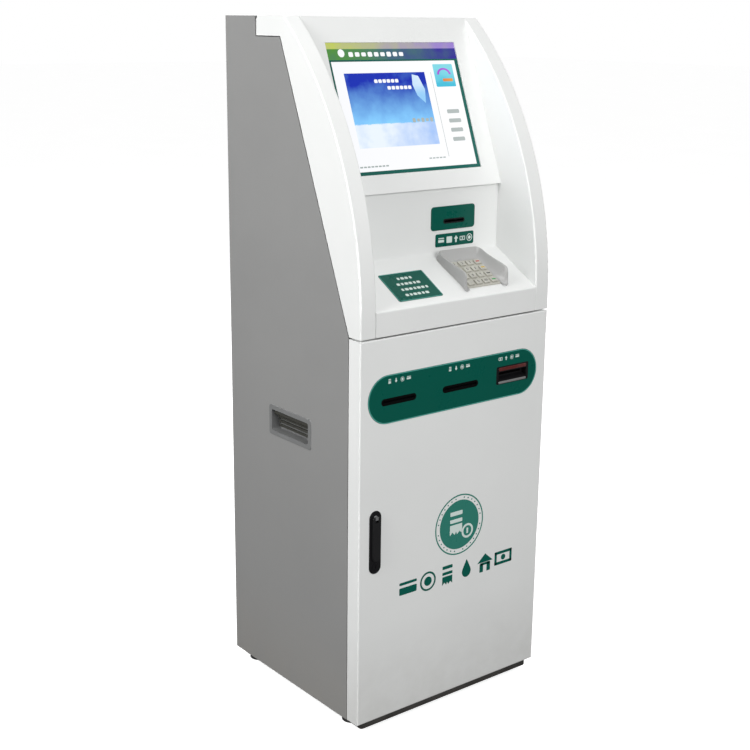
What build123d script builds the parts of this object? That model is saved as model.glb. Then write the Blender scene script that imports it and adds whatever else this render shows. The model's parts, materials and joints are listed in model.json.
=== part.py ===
from build123d import *
import math
import os

os.makedirs("parts", exist_ok=True)

# Free-standing self-service payment kiosk. Millimetres, +Z up, the customer stands at -Y.
# The origin is the centre of the footprint on the floor.

# ---------------------------------------------------------------- overall sizes
width = 560.0
depth = 510.0
height = 1600.0
foot_height = 28.0
head_height = 663.0
seam_gap = 4.0
sheet = 2.0
panel_gap = 2.0
fit_gap = 0.3
running_gap = 0.05

half_width = width / 2
seam_height = height - head_height
front_y = -depth / 2
back_y = depth / 2
inner_x = half_width - sheet

# ---------------------------------------------------------------- door sizes
door_depth = 40.0
door_lift = 1.0
hinge_stile = 18.0
pivot_inset = 8.0
pivot_pin_r = 4.0
pivot_pin_reach = 14.0
pivot_plate = 2.4

cabinet_front_y = front_y + door_depth + panel_gap
door_bottom = foot_height + door_lift
door_top = seam_height - seam_gap / 2
door_back_y = front_y + door_depth
pivot_x = half_width - pivot_inset
pivot_y = door_back_y - pivot_inset

# ---------------------------------------------------------------- hood sizes
cheek_width = 42.0
cheek_arc_r = 832.0
cheek_arc_z = seam_height + 43.0
slant_top_y = 36.0
slant_top_z = height - 42.0
hood_back_y = 129.0
hood_hinge_y = 130.0
hood_hinge_z = height - 4.0
hood_corner = 5.0
edge_round = 3.0
screen_top_y = 20.0
screen_bottom_y = -125.0
screen_bottom_z = height - 376.0
console_wall_y = -115.0
deck_back_z = seam_height + 137.0
deck_front_z = seam_height + 57.0
bend_r = 5.0
wing_overlap = 12.0

hood_bottom = seam_height + seam_gap / 2
cheek_inner_x = half_width - cheek_width
arc_centre_y = front_y + cheek_arc_r
wing_back_y = console_wall_y + wing_overlap


def arc_y(z, inset):
    """Front of a cheek at height z, moved in by inset."""
    return arc_centre_y - math.sqrt((cheek_arc_r - inset) ** 2 - (z - cheek_arc_z) ** 2)


# ---------------------------------------------------------------- base tray and feet
tray_flange = 24.0
anchor_x = 400.0
anchor_y = 330.0
anchor_centre_y = 25.0
anchor_r = 7.0
foot_x = 235.0
foot_front_y = -176.0
foot_back_y = 218.0
foot_pad_r = 24.0
foot_pad_height = 10.0
stud_r = 6.0
stud_top = 26.0
jam_nut_r = 11.0
jam_nut_height = 7.0
door_frame_width = 24.0
frame_back_y = cabinet_front_y + door_frame_width
tray_depth = back_y - sheet - cabinet_front_y
tray_centre_y = (back_y - sheet + cabinet_front_y) / 2
foot_places = [
    (foot_x, foot_front_y),
    (-foot_x, foot_front_y),
    (foot_x, foot_back_y),
    (-foot_x, foot_back_y),
]

with BuildPart() as base_tray:
    with BuildSketch(Plane.XY.offset(foot_height)):
        with Locations((0, tray_centre_y)):
            Rectangle(2 * inner_x, tray_depth)
    extrude(amount=sheet)
    rim_depth = back_y - sheet - frame_back_y
    with BuildSketch(Plane.XY.offset(foot_height + sheet)):
        with Locations((0, frame_back_y + rim_depth / 2)):
            Rectangle(2 * inner_x, rim_depth)
        with Locations((0, frame_back_y + (rim_depth - sheet) / 2)):
            Rectangle(2 * (inner_x - sheet), rim_depth - sheet, mode=Mode.SUBTRACT)
    extrude(amount=tray_flange)
    with BuildSketch(Plane.XY.offset(foot_height)):
        with Locations((0, anchor_centre_y)):
            with GridLocations(anchor_x, anchor_y, 2, 2):
                Circle(anchor_r)
        with Locations(*foot_places):
            Circle(stud_r + running_gap)
    extrude(amount=sheet, mode=Mode.SUBTRACT)
base_tray.part.label = "base_tray"
export_step(base_tray.part, "parts/base_tray.step")

with BuildPart() as levelling_feet:
    with BuildSketch(Plane.XY):
        with Locations(*foot_places):
            Circle(foot_pad_r)
    extrude(amount=foot_pad_height, taper=12)
    with BuildSketch(Plane.XY.offset(foot_pad_height)):
        with Locations(*foot_places):
            Circle(stud_r)
    extrude(amount=foot_height + stud_top - foot_pad_height)
    with BuildSketch(Plane.XY.offset(foot_height - jam_nut_height)):
        with Locations(*foot_places):
            RegularPolygon(jam_nut_r, 6)
    extrude(amount=jam_nut_height)
levelling_feet.part.label = "levelling_feet"
export_step(levelling_feet.part, "parts/levelling_feet.step")

# ---------------------------------------------------------------- door frame and shelf
frame_clearance = 0.8
frame_top = door_top + frame_clearance

with BuildPart() as door_frame:
    frame_bottom = foot_height + sheet
    frame_height = frame_top - frame_bottom
    with BuildSketch(Plane.XZ.offset(-cabinet_front_y)):
        with Locations((0, frame_bottom + frame_height / 2)):
            Rectangle(2 * inner_x, frame_height)
            Rectangle(
                2 * (inner_x - door_frame_width),
                frame_height - 2 * door_frame_width,
                mode=Mode.SUBTRACT,
            )
    extrude(amount=-door_frame_width)
    with BuildSketch(Plane.XZ.offset(-cabinet_front_y - sheet)):
        with Locations((0, frame_bottom + frame_height / 2)):
            Rectangle(2 * (inner_x - sheet), frame_height - 2 * sheet)
            Rectangle(
                2 * (inner_x - door_frame_width + sheet),
                frame_height - 2 * (door_frame_width - sheet),
                mode=Mode.SUBTRACT,
            )
    extrude(amount=-(door_frame_width - sheet), mode=Mode.SUBTRACT)
door_frame.part.label = "door_frame"
export_step(door_frame.part, "parts/door_frame.step")

shelf_z = seam_height - 317.0
shelf_flange = 22.0
cable_hole_x = 200.0
cable_hole_y = 200.0
cable_hole_r = 22.0

with BuildPart() as equipment_shelf:
    shelf_depth = back_y - sheet - frame_back_y
    shelf_centre_y = frame_back_y + shelf_depth / 2
    with BuildSketch(Plane.XY.offset(shelf_z)):
        with Locations((0, shelf_centre_y)):
            Rectangle(2 * inner_x, shelf_depth)
    extrude(amount=sheet)
    with BuildSketch(Plane.XY.offset(shelf_z - shelf_flange)):
        with Locations((inner_x - sheet / 2, shelf_centre_y), (sheet / 2 - inner_x, shelf_centre_y)):
            Rectangle(sheet, shelf_depth)
        with Locations((0, frame_back_y + sheet / 2)):
            Rectangle(2 * inner_x, sheet)
    extrude(amount=shelf_flange)
    with BuildSketch(Plane.XY.offset(shelf_z)):
        with Locations((-cable_hole_x, cable_hole_y), (cable_hole_x, cable_hole_y)):
            Circle(cable_hole_r)
    extrude(amount=sheet, mode=Mode.SUBTRACT)
equipment_shelf.part.label = "equipment_shelf"
export_step(equipment_shelf.part, "parts/equipment_shelf.step")

# ---------------------------------------------------------------- side panels and grips
grip_y = 8.0
grip_z = seam_height - 254.0
grip_length = 168.0
grip_height = 73.0
grip_corner = 7.0
grip_flange = 1.5
grip_bevel = 1.0
grip_rim = 11.0
grip_depth = 26.0
grip_wall = 2.0
notch_y = hood_back_y + 3.0
notch_corner_y = 136.0
notch_corner_z = height - 12.0
panel_slant_y = slant_top_y + 2.2
panel_slant_z = slant_top_z - panel_gap
pocket_length = grip_length - 2 * grip_rim
pocket_height = grip_height - 2 * grip_rim

side_outline = [
    (cabinet_front_y, foot_height),
    (cabinet_front_y, seam_height),
    (panel_slant_y, panel_slant_z),
    (notch_y, panel_slant_z),
    (notch_y, notch_corner_z),
    (notch_corner_y, height),
    (back_y, height),
    (back_y, foot_height),
]

with BuildPart() as left_side_panel:
    with BuildSketch(Plane.YZ.offset(-half_width)):
        Polygon(*side_outline, align=None)
        with Locations((grip_y, grip_z)):
            RectangleRounded(
                pocket_length + 2 * grip_wall + fit_gap,
                pocket_height + 2 * grip_wall + fit_gap,
                grip_corner,
                mode=Mode.SUBTRACT,
            )
    extrude(amount=sheet)
left_side_panel.part.label = "left_side_panel"
export_step(left_side_panel.part, "parts/left_side_panel.step")

with BuildPart() as right_side_panel:
    mirror(left_side_panel.part, about=Plane.YZ)
right_side_panel.part.label = "right_side_panel"
export_step(right_side_panel.part, "parts/right_side_panel.step")

# A grip is a shallow moulded cup whose flange lies on the panel's outer face.
grip_plane = Plane.YZ.offset(-half_width - grip_flange)

with BuildPart() as side_grip_left:
    with BuildSketch(grip_plane):
        with Locations((grip_y, grip_z)):
            RectangleRounded(grip_length, grip_height, grip_corner)
    extrude(amount=grip_flange)
    chamfer(side_grip_left.faces().sort_by(Axis.X)[0].edges(), length=grip_bevel)
    with BuildSketch(grip_plane):
        with Locations((grip_y, grip_z)):
            RectangleRounded(
                pocket_length + 2 * grip_wall, pocket_height + 2 * grip_wall, grip_corner
            )
    extrude(amount=grip_flange + grip_depth)
    with BuildSketch(grip_plane):
        with Locations((grip_y, grip_z)):
            RectangleRounded(pocket_length, pocket_height, grip_corner - grip_wall)
    extrude(amount=grip_flange + grip_depth - grip_wall, mode=Mode.SUBTRACT)
side_grip_left.part.label = "side_grip_left"
export_step(side_grip_left.part, "parts/side_grip_left.step")

with BuildPart() as side_grip_right:
    mirror(side_grip_left.part, about=Plane.YZ)
side_grip_right.part.label = "side_grip_right"
export_step(side_grip_right.part, "parts/side_grip_right.step")

# ---------------------------------------------------------------- rear panel, top panel, fan, inlet
fan_x = 0.0
fan_z = height - 220.0
fan_size = 120.0
fan_depth = 25.0
fan_bore_r = 57.0
fan_blade_r = 54.0
fan_hub_r = 19.0
fan_boss_r = 20.0
fan_shaft_r = 2.0
fan_blades = 7
fan_corner = 6.0
fan_arm_width = 6.0
fan_arm_thick = 3.0
fan_hub_depth = 20.0
fan_blade_width = 22.0
fan_blade_thick = 2.0
guard_wire_r = 1.5
guard_proud = 7.5
guard_rings = 4
inlet_x = 190.0
inlet_z = 120.0
inlet_width = 50.0
inlet_height = 62.0
inlet_depth = 34.0
inlet_flange = 3.0
inlet_lip = 8.0
louvre_length = 110.0
louvre_height = 5.0
louvre_pitch = 16.0
louvre_count = 9
louvre_x = 260.0
louvre_z = height - 480.0
low_louvre_z = 330.0

with BuildPart() as rear_panel:
    with BuildSketch(Plane.XZ.offset(-back_y)):
        with Locations((0, (foot_height + height) / 2)):
            Rectangle(2 * inner_x, height - foot_height)
        with Locations((fan_x, fan_z)):
            Circle(fan_bore_r, mode=Mode.SUBTRACT)
        with Locations((inlet_x, inlet_z)):
            Rectangle(inlet_width - inlet_lip, inlet_height - inlet_lip, mode=Mode.SUBTRACT)
        with Locations((0, louvre_z), (0, low_louvre_z)):
            with GridLocations(louvre_x, louvre_pitch, 2, louvre_count):
                SlotOverall(louvre_length, louvre_height, mode=Mode.SUBTRACT)
    extrude(amount=sheet)
rear_panel.part.label = "rear_panel"
export_step(rear_panel.part, "parts/rear_panel.step")

with BuildPart() as top_panel:
    top_depth = back_y - sheet - notch_corner_y
    with BuildSketch(Plane.XY.offset(height - sheet)):
        with Locations((0, notch_corner_y + top_depth / 2)):
            Rectangle(2 * inner_x, top_depth)
    extrude(amount=sheet)
    with BuildSketch(Plane.XY.offset(height - tray_flange)):
        with Locations((inner_x - sheet / 2, notch_corner_y + top_depth / 2)):
            Rectangle(sheet, top_depth)
        with Locations((sheet / 2 - inner_x, notch_corner_y + top_depth / 2)):
            Rectangle(sheet, top_depth)
    extrude(amount=tray_flange - sheet)
top_panel.part.label = "top_panel"
export_step(top_panel.part, "parts/top_panel.step")

fan_front_y = back_y - sheet - fan_depth

with BuildPart() as fan_frame:
    with BuildSketch(Plane.XZ.offset(-fan_front_y)):
        with Locations((fan_x, fan_z)):
            RectangleRounded(fan_size, fan_size, fan_corner)
            Circle(fan_bore_r, mode=Mode.SUBTRACT)
    extrude(amount=-fan_depth)
    with BuildSketch(Plane.XZ.offset(-fan_front_y)):
        with Locations((fan_x, fan_z)):
            Circle(fan_boss_r)
            Rectangle(2 * fan_bore_r + 2, fan_arm_width)
            Rectangle(fan_arm_width, 2 * fan_bore_r + 2)
    extrude(amount=-fan_arm_thick)
    with BuildSketch(Plane.XZ.offset(-fan_front_y - fan_arm_thick)):
        with Locations((fan_x, fan_z)):
            Circle(fan_shaft_r)
    extrude(amount=-(fan_hub_depth - 1))
    guard_step = (fan_bore_r + 4) / guard_rings
    for ring in range(guard_rings):
        with BuildSketch(Plane.XZ.offset(-back_y - guard_proud + 2 * guard_wire_r)):
            with Locations((fan_x, fan_z)):
                Circle((ring + 1) * guard_step + guard_wire_r)
                Circle((ring + 1) * guard_step - guard_wire_r, mode=Mode.SUBTRACT)
        extrude(amount=-2 * guard_wire_r)
    for turn in (45, 135):
        with BuildSketch(Plane.XZ.offset(-back_y - guard_proud + 3 * guard_wire_r)):
            with Locations(Location((fan_x, fan_z), turn)):
                Rectangle(2 * (fan_bore_r + 6), 2 * guard_wire_r)
        extrude(amount=-2 * guard_wire_r)
    with BuildSketch(Plane.XZ.offset(-back_y)):
        with Locations((fan_x, fan_z)):
            with PolarLocations(fan_bore_r + 4, 4, 45):
                Circle(3)
    extrude(amount=-guard_proud + guard_wire_r)
fan_frame.part.label = "fan_frame"
export_step(fan_frame.part, "parts/fan_frame.step")

with BuildPart() as fan_rotor:
    rotor_front_y = fan_front_y + fan_arm_thick + 0.5
    with BuildSketch(Plane.XZ.offset(-rotor_front_y)):
        with Locations((fan_x, fan_z)):
            Circle(fan_hub_r)
    extrude(amount=-fan_hub_depth)
    for blade in range(fan_blades):
        blade_turn = blade * 360 / fan_blades
        blade_plane = Plane.XZ.offset(-rotor_front_y - fan_arm_thick)
        with BuildSketch(blade_plane):
            with Locations((fan_x, fan_z)):
                with PolarLocations((fan_hub_r + fan_blade_r) / 2 - 1, 1, blade_turn):
                    Rectangle(fan_blade_r - fan_hub_r + 2, fan_blade_width)
            with Locations((fan_x, fan_z)):
                Circle(fan_blade_r, mode=Mode.INTERSECT)
        extrude(amount=-fan_blade_thick)
    with BuildSketch(Plane.XZ.offset(-rotor_front_y)):
        with Locations((fan_x, fan_z)):
            Circle(fan_shaft_r + running_gap)
    extrude(amount=-(fan_hub_depth - 1), mode=Mode.SUBTRACT)
fan_rotor.part.label = "fan_rotor"
export_step(fan_rotor.part, "parts/fan_rotor.step")

socket_width = 24.0
socket_height = 17.0
socket_depth = 18.0
socket_drop = -12.0
socket_pins = [(-7, -2), (7, -2), (0, 2.5)]
socket_pin_width = 2.0
socket_pin_height = 4.0
switch_rise = 17.0
switch_width = 20.0
switch_height = 14.0
switch_pocket_gap = 1.2
switch_pin_r = 1.5
rocker_reach = 5.0
rocker_hollow = 2.4
rocker_low = 3.2
switch_y = back_y - 3.0
switch_z = inlet_z + switch_rise

with BuildPart() as power_inlet:
    with BuildSketch(Plane.XZ.offset(-back_y)):
        with Locations((inlet_x, inlet_z)):
            RectangleRounded(inlet_width, inlet_height, 3)
    extrude(amount=-inlet_flange)
    with BuildSketch(Plane.XZ.offset(-back_y)):
        with Locations((inlet_x, inlet_z)):
            Rectangle(inlet_width - inlet_lip, inlet_height - inlet_lip)
    extrude(amount=inlet_depth)
    with BuildSketch(Plane.XZ.offset(-back_y - inlet_flange)):
        with Locations((inlet_x, inlet_z + socket_drop)):
            RectangleRounded(socket_width, socket_height, 3)
        with Locations((inlet_x, inlet_z + switch_rise)):
            Rectangle(switch_width + 2 * switch_pocket_gap, switch_height + 2 * switch_pocket_gap)
    extrude(amount=socket_depth, mode=Mode.SUBTRACT)
    with BuildSketch(Plane.XZ.offset(-back_y + socket_depth - inlet_flange)):
        with Locations((inlet_x, inlet_z + socket_drop)):
            with Locations(*socket_pins):
                Rectangle(socket_pin_width, socket_pin_height)
    extrude(amount=-(socket_depth - 4))
    with BuildSketch(Plane.YZ.offset(inlet_x - switch_width / 2 - switch_pocket_gap)):
        with Locations((switch_y, switch_z)):
            Circle(switch_pin_r)
    extrude(amount=switch_width + 2 * switch_pocket_gap)
power_inlet.part.label = "power_inlet"
export_step(power_inlet.part, "parts/power_inlet.step")

with BuildPart() as power_switch:
    half = switch_height / 2 - 0.5
    rocker_back = switch_y - rocker_reach
    with BuildSketch(Plane.YZ.offset(inlet_x - switch_width / 2)):
        with BuildLine():
            Polyline(
                (rocker_back, switch_z - half + 2),
                (rocker_back, switch_z + half - 2),
                (switch_y + rocker_reach, switch_z + half),
                (switch_y + rocker_hollow, switch_z),
                (switch_y + rocker_low, switch_z - half),
                (rocker_back, switch_z - half + 2),
            )
        make_face()
        with Locations((switch_y, switch_z)):
            Circle(switch_pin_r + running_gap, mode=Mode.SUBTRACT)
    extrude(amount=switch_width)
power_switch.part.label = "power_switch"
export_step(power_switch.part, "parts/power_switch.step")

# ---------------------------------------------------------------- equipment on the shelf and base
computer_width = 340.0
computer_depth = 300.0
computer_height = 120.0
computer_y = 60.0
vent_x = 60.0
vent_length = 24.0
vent_width = 4.0

with BuildPart() as computer_unit:
    with BuildSketch(Plane.XY.offset(foot_height + sheet)):
        with Locations((0, computer_y)):
            RectangleRounded(computer_width, computer_depth, 5)
    extrude(amount=computer_height)
    with BuildSketch(Plane.XY.offset(foot_height + 2 * sheet)):
        with Locations((0, computer_y)):
            Rectangle(computer_width - 2 * sheet, computer_depth - 2 * sheet)
    extrude(amount=computer_height - 2 * sheet, mode=Mode.SUBTRACT)
    computer_front = Plane.XZ.offset(-(computer_y - computer_depth / 2))
    with BuildSketch(computer_front):
        with Locations((vent_x, foot_height + sheet + computer_height / 2)):
            with GridLocations(9, 30, 14, 2):
                SlotOverall(vent_length, vent_width, rotation=90)
    extrude(amount=-sheet, mode=Mode.SUBTRACT)
computer_unit.part.label = "computer_unit"
export_step(computer_unit.part, "parts/computer_unit.step")

outlet_z = seam_height - 140.0
outlet_centre_x = -4.0
outlet_length = 510.0
outlet_height = 111.0
receipt_x = -172.0
receipt_width = 99.0
invoice_x = 9.0
invoice_width = 108.0
slot_z = outlet_z - 5.5
slot_height = 10.5
mouth_wall = 2.5
bill_x = 172.0
bill_width = 103.0
bill_height = 43.0
printer_front_y = -204.0
printer_width = 124.0
printer_depth = 130.0
printer_top_z = outlet_z + 41.0
chute_height = 8.0
roll_r = 40.0
roll_width = 80.0
roll_core_r = 6.0
roll_y = -22.0
roll_z = outlet_z - 52.0
holder_thick = 3.0
holder_reach = 14.0
holder_height = 30.0
chute_width = 80.0

with BuildPart() as receipt_printer:
    with BuildSketch(Plane.XY.offset(shelf_z + sheet)):
        with Locations((receipt_x, printer_front_y + printer_depth / 2)):
            Rectangle(printer_width, printer_depth)
    extrude(amount=printer_top_z - shelf_z - sheet)
    with BuildSketch(Plane.XZ.offset(-printer_front_y)):
        with Locations((receipt_x, slot_z)):
            Rectangle(roll_width + 6, chute_height)
    extrude(amount=-printer_depth, mode=Mode.SUBTRACT)
    holder_y = printer_front_y + printer_depth
    for side in (-1, 1):
        holder_x = receipt_x + side * (roll_width / 2 + 2 + holder_thick / 2)
        with BuildSketch(Plane.YZ.offset(holder_x - holder_thick / 2)):
            with Locations(((holder_y + roll_y + holder_reach) / 2 - 1, roll_z)):
                Rectangle(roll_y + holder_reach - holder_y + 2, holder_height)
        extrude(amount=holder_thick)
    with BuildSketch(Plane.YZ.offset(receipt_x - roll_width / 2 - 3)):
        with Locations((roll_y, roll_z)):
            Circle(roll_core_r)
    extrude(amount=roll_width + 6)
receipt_printer.part.label = "receipt_printer"
export_step(receipt_printer.part, "parts/receipt_printer.step")

with BuildPart() as paper_roll:
    with BuildSketch(Plane.YZ.offset(receipt_x - roll_width / 2)):
        with Locations((roll_y, roll_z)):
            Circle(roll_r)
            Circle(roll_core_r + running_gap, mode=Mode.SUBTRACT)
    extrude(amount=roll_width)
paper_roll.part.label = "paper_roll"
export_step(paper_roll.part, "parts/paper_roll.step")

with BuildPart() as invoice_printer:
    with BuildSketch(Plane.XY.offset(shelf_z + sheet)):
        with Locations((invoice_x, printer_front_y + printer_depth)):
            RectangleRounded(printer_width + 30, 2 * printer_depth, 4)
    extrude(amount=printer_top_z - shelf_z - sheet)
    with BuildSketch(Plane.XZ.offset(-printer_front_y)):
        with Locations((invoice_x, slot_z)):
            Rectangle(invoice_width - 8, chute_height)
    extrude(amount=-printer_depth, mode=Mode.SUBTRACT)
    with BuildSketch(Plane.XY.offset(shelf_z + 5 * sheet)):
        with Locations((invoice_x, printer_front_y + printer_depth + 70)):
            Rectangle(printer_width + 20, printer_depth - 20)
    extrude(amount=printer_top_z - shelf_z - 10 * sheet, mode=Mode.SUBTRACT)
invoice_printer.part.label = "invoice_printer"
export_step(invoice_printer.part, "parts/invoice_printer.step")

acceptor_width = 100.0
acceptor_depth = 110.0
acceptor_top_z = outlet_z + 35.0
chassis_depth = 300.0
chassis_height = 14.0
chassis_wall = 3.0
cash_box_width = 88.0
cash_box_length = 180.0
cash_box_height = 150.0
box_handle_rise = 100.0
box_handle_width = 64.0
box_handle_thick = 9.0
box_post_x = 25.0
box_post_r = 4.0
box_post_length = 22.0

with BuildPart() as bill_acceptor:
    with BuildSketch(Plane.XY.offset(shelf_z + sheet)):
        with Locations((bill_x, printer_front_y + chassis_depth / 2)):
            Rectangle(acceptor_width, chassis_depth)
    extrude(amount=chassis_height)
    with BuildSketch(Plane.XY.offset(shelf_z + sheet + chassis_wall)):
        with Locations((bill_x, printer_front_y + (chassis_depth + acceptor_depth) / 2)):
            Rectangle(acceptor_width - 2 * chassis_wall, chassis_depth - acceptor_depth)
    extrude(amount=chassis_height, mode=Mode.SUBTRACT)
    with BuildSketch(Plane.XY.offset(shelf_z + sheet)):
        with Locations((bill_x, printer_front_y + acceptor_depth / 2)):
            Rectangle(acceptor_width, acceptor_depth)
    extrude(amount=acceptor_top_z - shelf_z - sheet)
    with BuildSketch(Plane.XZ.offset(-printer_front_y)):
        with Locations((bill_x, outlet_z)):
            Rectangle(chute_width, chute_height)
    extrude(amount=-acceptor_depth, mode=Mode.SUBTRACT)
bill_acceptor.part.label = "bill_acceptor"
export_step(bill_acceptor.part, "parts/bill_acceptor.step")

with BuildPart() as cash_box:
    box_front_y = printer_front_y + acceptor_depth + 0.5
    box_bottom = shelf_z + sheet + chassis_wall + fit_gap
    with BuildSketch(Plane.XY.offset(box_bottom)):
        with Locations((bill_x, box_front_y + cash_box_length / 2)):
            RectangleRounded(cash_box_width, cash_box_length, 4)
    extrude(amount=cash_box_height)
    with BuildSketch(Plane.XY.offset(box_bottom + sheet)):
        with Locations((bill_x, box_front_y + cash_box_length / 2)):
            Rectangle(cash_box_width - 2 * sheet, cash_box_length - 2 * sheet)
    extrude(amount=cash_box_height - 2 * sheet, mode=Mode.SUBTRACT)
    box_back_y = box_front_y + cash_box_length
    for side in (-1, 1):
        with BuildSketch(Plane.XZ.offset(-box_back_y)):
            with Locations((bill_x + side * box_post_x, box_bottom + box_handle_rise)):
                Circle(box_post_r)
        extrude(amount=-box_post_length)
    with BuildSketch(Plane.XZ.offset(-box_back_y - box_post_length + box_post_r)):
        with Locations((bill_x, box_bottom + box_handle_rise)):
            SlotOverall(box_handle_width, box_handle_thick)
    extrude(amount=-box_handle_thick)
cash_box.part.label = "cash_box"
export_step(cash_box.part, "parts/cash_box.step")

# ---------------------------------------------------------------- door and its pivots
lock_x = -235.0
lock_bottom = 396.0
lock_length = 150.0
lock_width = 33.0
spindle_r = 6.0
spindle_z = lock_bottom + lock_length - lock_width / 2
lock_core_z = lock_bottom + lock_width / 2
escutcheon_proud = 2.0
lock_core_r = 8.0
lock_core_proud = 1.5
key_slot_width = 2.0
key_slot_length = 9.0
outlet_lip = 9.0
outlet_face = 2.0
outlet_edge_gap = 0.5

pivot_plate_r = pivot_inset - 0.5
pivot_arm = 32.0
arm_side = inner_x - fit_gap - pivot_x

with BuildPart() as door_pivots:
    with BuildSketch(Plane.XY.offset(frame_top)):
        with Locations((pivot_x + (arm_side - pivot_plate_r) / 2, pivot_y + pivot_arm / 2)):
            Rectangle(pivot_plate_r + arm_side, pivot_arm)
        with Locations((pivot_x, pivot_y)):
            Circle(pivot_plate_r)
    extrude(amount=pivot_plate)
    with BuildSketch(Plane.XY.offset(frame_top)):
        with Locations((pivot_x, pivot_y)):
            Circle(pivot_pin_r)
    extrude(amount=-pivot_pin_reach)
    with BuildSketch(Plane.XY.offset(foot_height)):
        with Locations((pivot_x + (arm_side - pivot_plate_r) / 2, pivot_y + pivot_arm / 2)):
            Rectangle(pivot_plate_r + arm_side, pivot_arm)
        with Locations((pivot_x, pivot_y)):
            Circle(pivot_plate_r)
    extrude(amount=-pivot_plate)
    with BuildSketch(Plane.XY.offset(foot_height)):
        with Locations((pivot_x, pivot_y)):
            Circle(pivot_pin_r)
    extrude(amount=pivot_pin_reach)
door_pivots.part.label = "door_pivots"
export_step(door_pivots.part, "parts/door_pivots.step")

with BuildPart() as door_skin:
    door_height = door_top - door_bottom
    with BuildSketch(Plane.XY.offset(door_bottom)):
        with Locations((0, front_y + door_depth / 2)):
            Rectangle(width, door_depth)
    extrude(amount=door_height)
    fillet(door_skin.faces().sort_by(Axis.Y)[0].edges(), radius=edge_round)
    rear_corner = (half_width, door_back_y, door_height / 2)
    rear_right = door_skin.edges().filter_by(Axis.Z).sort_by_distance(rear_corner)[0]
    fillet(rear_right, radius=pivot_inset)
    pocket_width = width - sheet - hinge_stile
    with BuildSketch(Plane.XZ.offset(-front_y - sheet)):
        with Locations(((sheet - hinge_stile) / 2, (door_top + door_bottom) / 2)):
            Rectangle(pocket_width, door_height - 2 * hinge_stile)
    extrude(amount=-door_depth, mode=Mode.SUBTRACT)
    with BuildSketch(Plane.XZ.offset(-front_y)):
        with Locations((outlet_centre_x, outlet_z)):
            SlotOverall(outlet_length, outlet_height)
        with Locations((lock_x, spindle_z)):
            Circle(spindle_r + running_gap)
    extrude(amount=-sheet, mode=Mode.SUBTRACT)
    with BuildSketch(Plane.XY.offset(door_bottom)):
        with Locations((pivot_x, pivot_y)):
            Circle(pivot_pin_r + running_gap)
    extrude(amount=pivot_pin_reach + 2, mode=Mode.SUBTRACT)
    with BuildSketch(Plane.XY.offset(door_top)):
        with Locations((pivot_x, pivot_y)):
            Circle(pivot_pin_r + running_gap)
    extrude(amount=-(pivot_pin_reach + 2), mode=Mode.SUBTRACT)
door_skin.part.label = "door_skin"
export_step(door_skin.part, "parts/door_skin.step")

with BuildPart() as outlet_panel:
    with BuildSketch(Plane.XZ.offset(-front_y)):
        with Locations((outlet_centre_x, outlet_z)):
            SlotOverall(outlet_length - 2 * outlet_edge_gap, outlet_height - 2 * outlet_edge_gap)
    extrude(amount=-outlet_face)
    with BuildSketch(Plane.XZ.offset(-front_y - sheet)):
        with Locations((outlet_centre_x, outlet_z)):
            SlotOverall(outlet_length + 2 * outlet_lip, outlet_height + 2 * outlet_lip)
    extrude(amount=-outlet_face)
    with BuildSketch(Plane.XZ.offset(-front_y)):
        with Locations((receipt_x, slot_z)):
            SlotOverall(receipt_width, slot_height)
        with Locations((invoice_x, slot_z)):
            SlotOverall(invoice_width, slot_height)
        with Locations((bill_x, outlet_z)):
            RectangleRounded(bill_width, bill_height, 4)
    extrude(amount=-3 * outlet_face, mode=Mode.SUBTRACT)
outlet_panel.part.label = "outlet_panel"
export_step(outlet_panel.part, "parts/outlet_panel.step")

mouth_depth = door_depth - 2.0
throat_side = 7.0
throat_drop = 13.0
throat_reach = 14.0
throat_taper = 3.0
throat_narrow = 14.0
throat_mouth = 21.0
note_width = 76.0
note_height = 6.0

with BuildPart() as slot_mouths:
    for mouth_x, mouth_width in ((receipt_x, receipt_width), (invoice_x, invoice_width)):
        with BuildSketch(Plane.XZ.offset(-front_y)):
            with Locations((mouth_x, slot_z)):
                SlotOverall(mouth_width - fit_gap, slot_height - fit_gap)
        extrude(amount=-mouth_depth)
        with BuildSketch(Plane.XZ.offset(-front_y - 2 * outlet_face)):
            with Locations((mouth_x, slot_z)):
                SlotOverall(mouth_width + 10, slot_height + 10)
        extrude(amount=-sheet)
        with BuildSketch(Plane.XZ.offset(-front_y)):
            with Locations((mouth_x, slot_z)):
                SlotOverall(mouth_width - 2 * mouth_wall, slot_height - 2 * mouth_wall)
        extrude(amount=-mouth_depth, mode=Mode.SUBTRACT)
slot_mouths.part.label = "slot_mouths"
export_step(slot_mouths.part, "parts/slot_mouths.step")

with BuildPart() as bill_bezel:
    bezel_width = bill_width - fit_gap
    bezel_height = bill_height - fit_gap
    with BuildSketch(Plane.XZ.offset(-front_y)):
        with Locations((bill_x, outlet_z)):
            RectangleRounded(bezel_width, bezel_height, 4)
    extrude(amount=-mouth_depth)
    with BuildSketch(Plane.XZ.offset(-front_y - 2 * outlet_face)):
        with Locations((bill_x, outlet_z)):
            RectangleRounded(bezel_width + 12, bezel_height + 12, 5)
    extrude(amount=-sheet)
    throat_top = outlet_z + bezel_height / 2 - throat_drop
    with BuildSketch(Plane.YZ.offset(bill_x - bezel_width / 2 + throat_side)):
        with BuildLine():
            Polyline(
                (front_y - 1, throat_top),
                (front_y + throat_reach, throat_top - throat_taper),
                (front_y + throat_reach, throat_top - throat_narrow),
                (front_y - 1, throat_top - throat_mouth),
                (front_y - 1, throat_top),
            )
        make_face()
    extrude(amount=bezel_width - 2 * throat_side, mode=Mode.SUBTRACT)
    with BuildSketch(Plane.XZ.offset(-front_y)):
        with Locations((bill_x, outlet_z)):
            Rectangle(note_width, note_height)
    extrude(amount=-mouth_depth, mode=Mode.SUBTRACT)
bill_bezel.part.label = "bill_bezel"
export_step(bill_bezel.part, "parts/bill_bezel.step")

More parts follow.
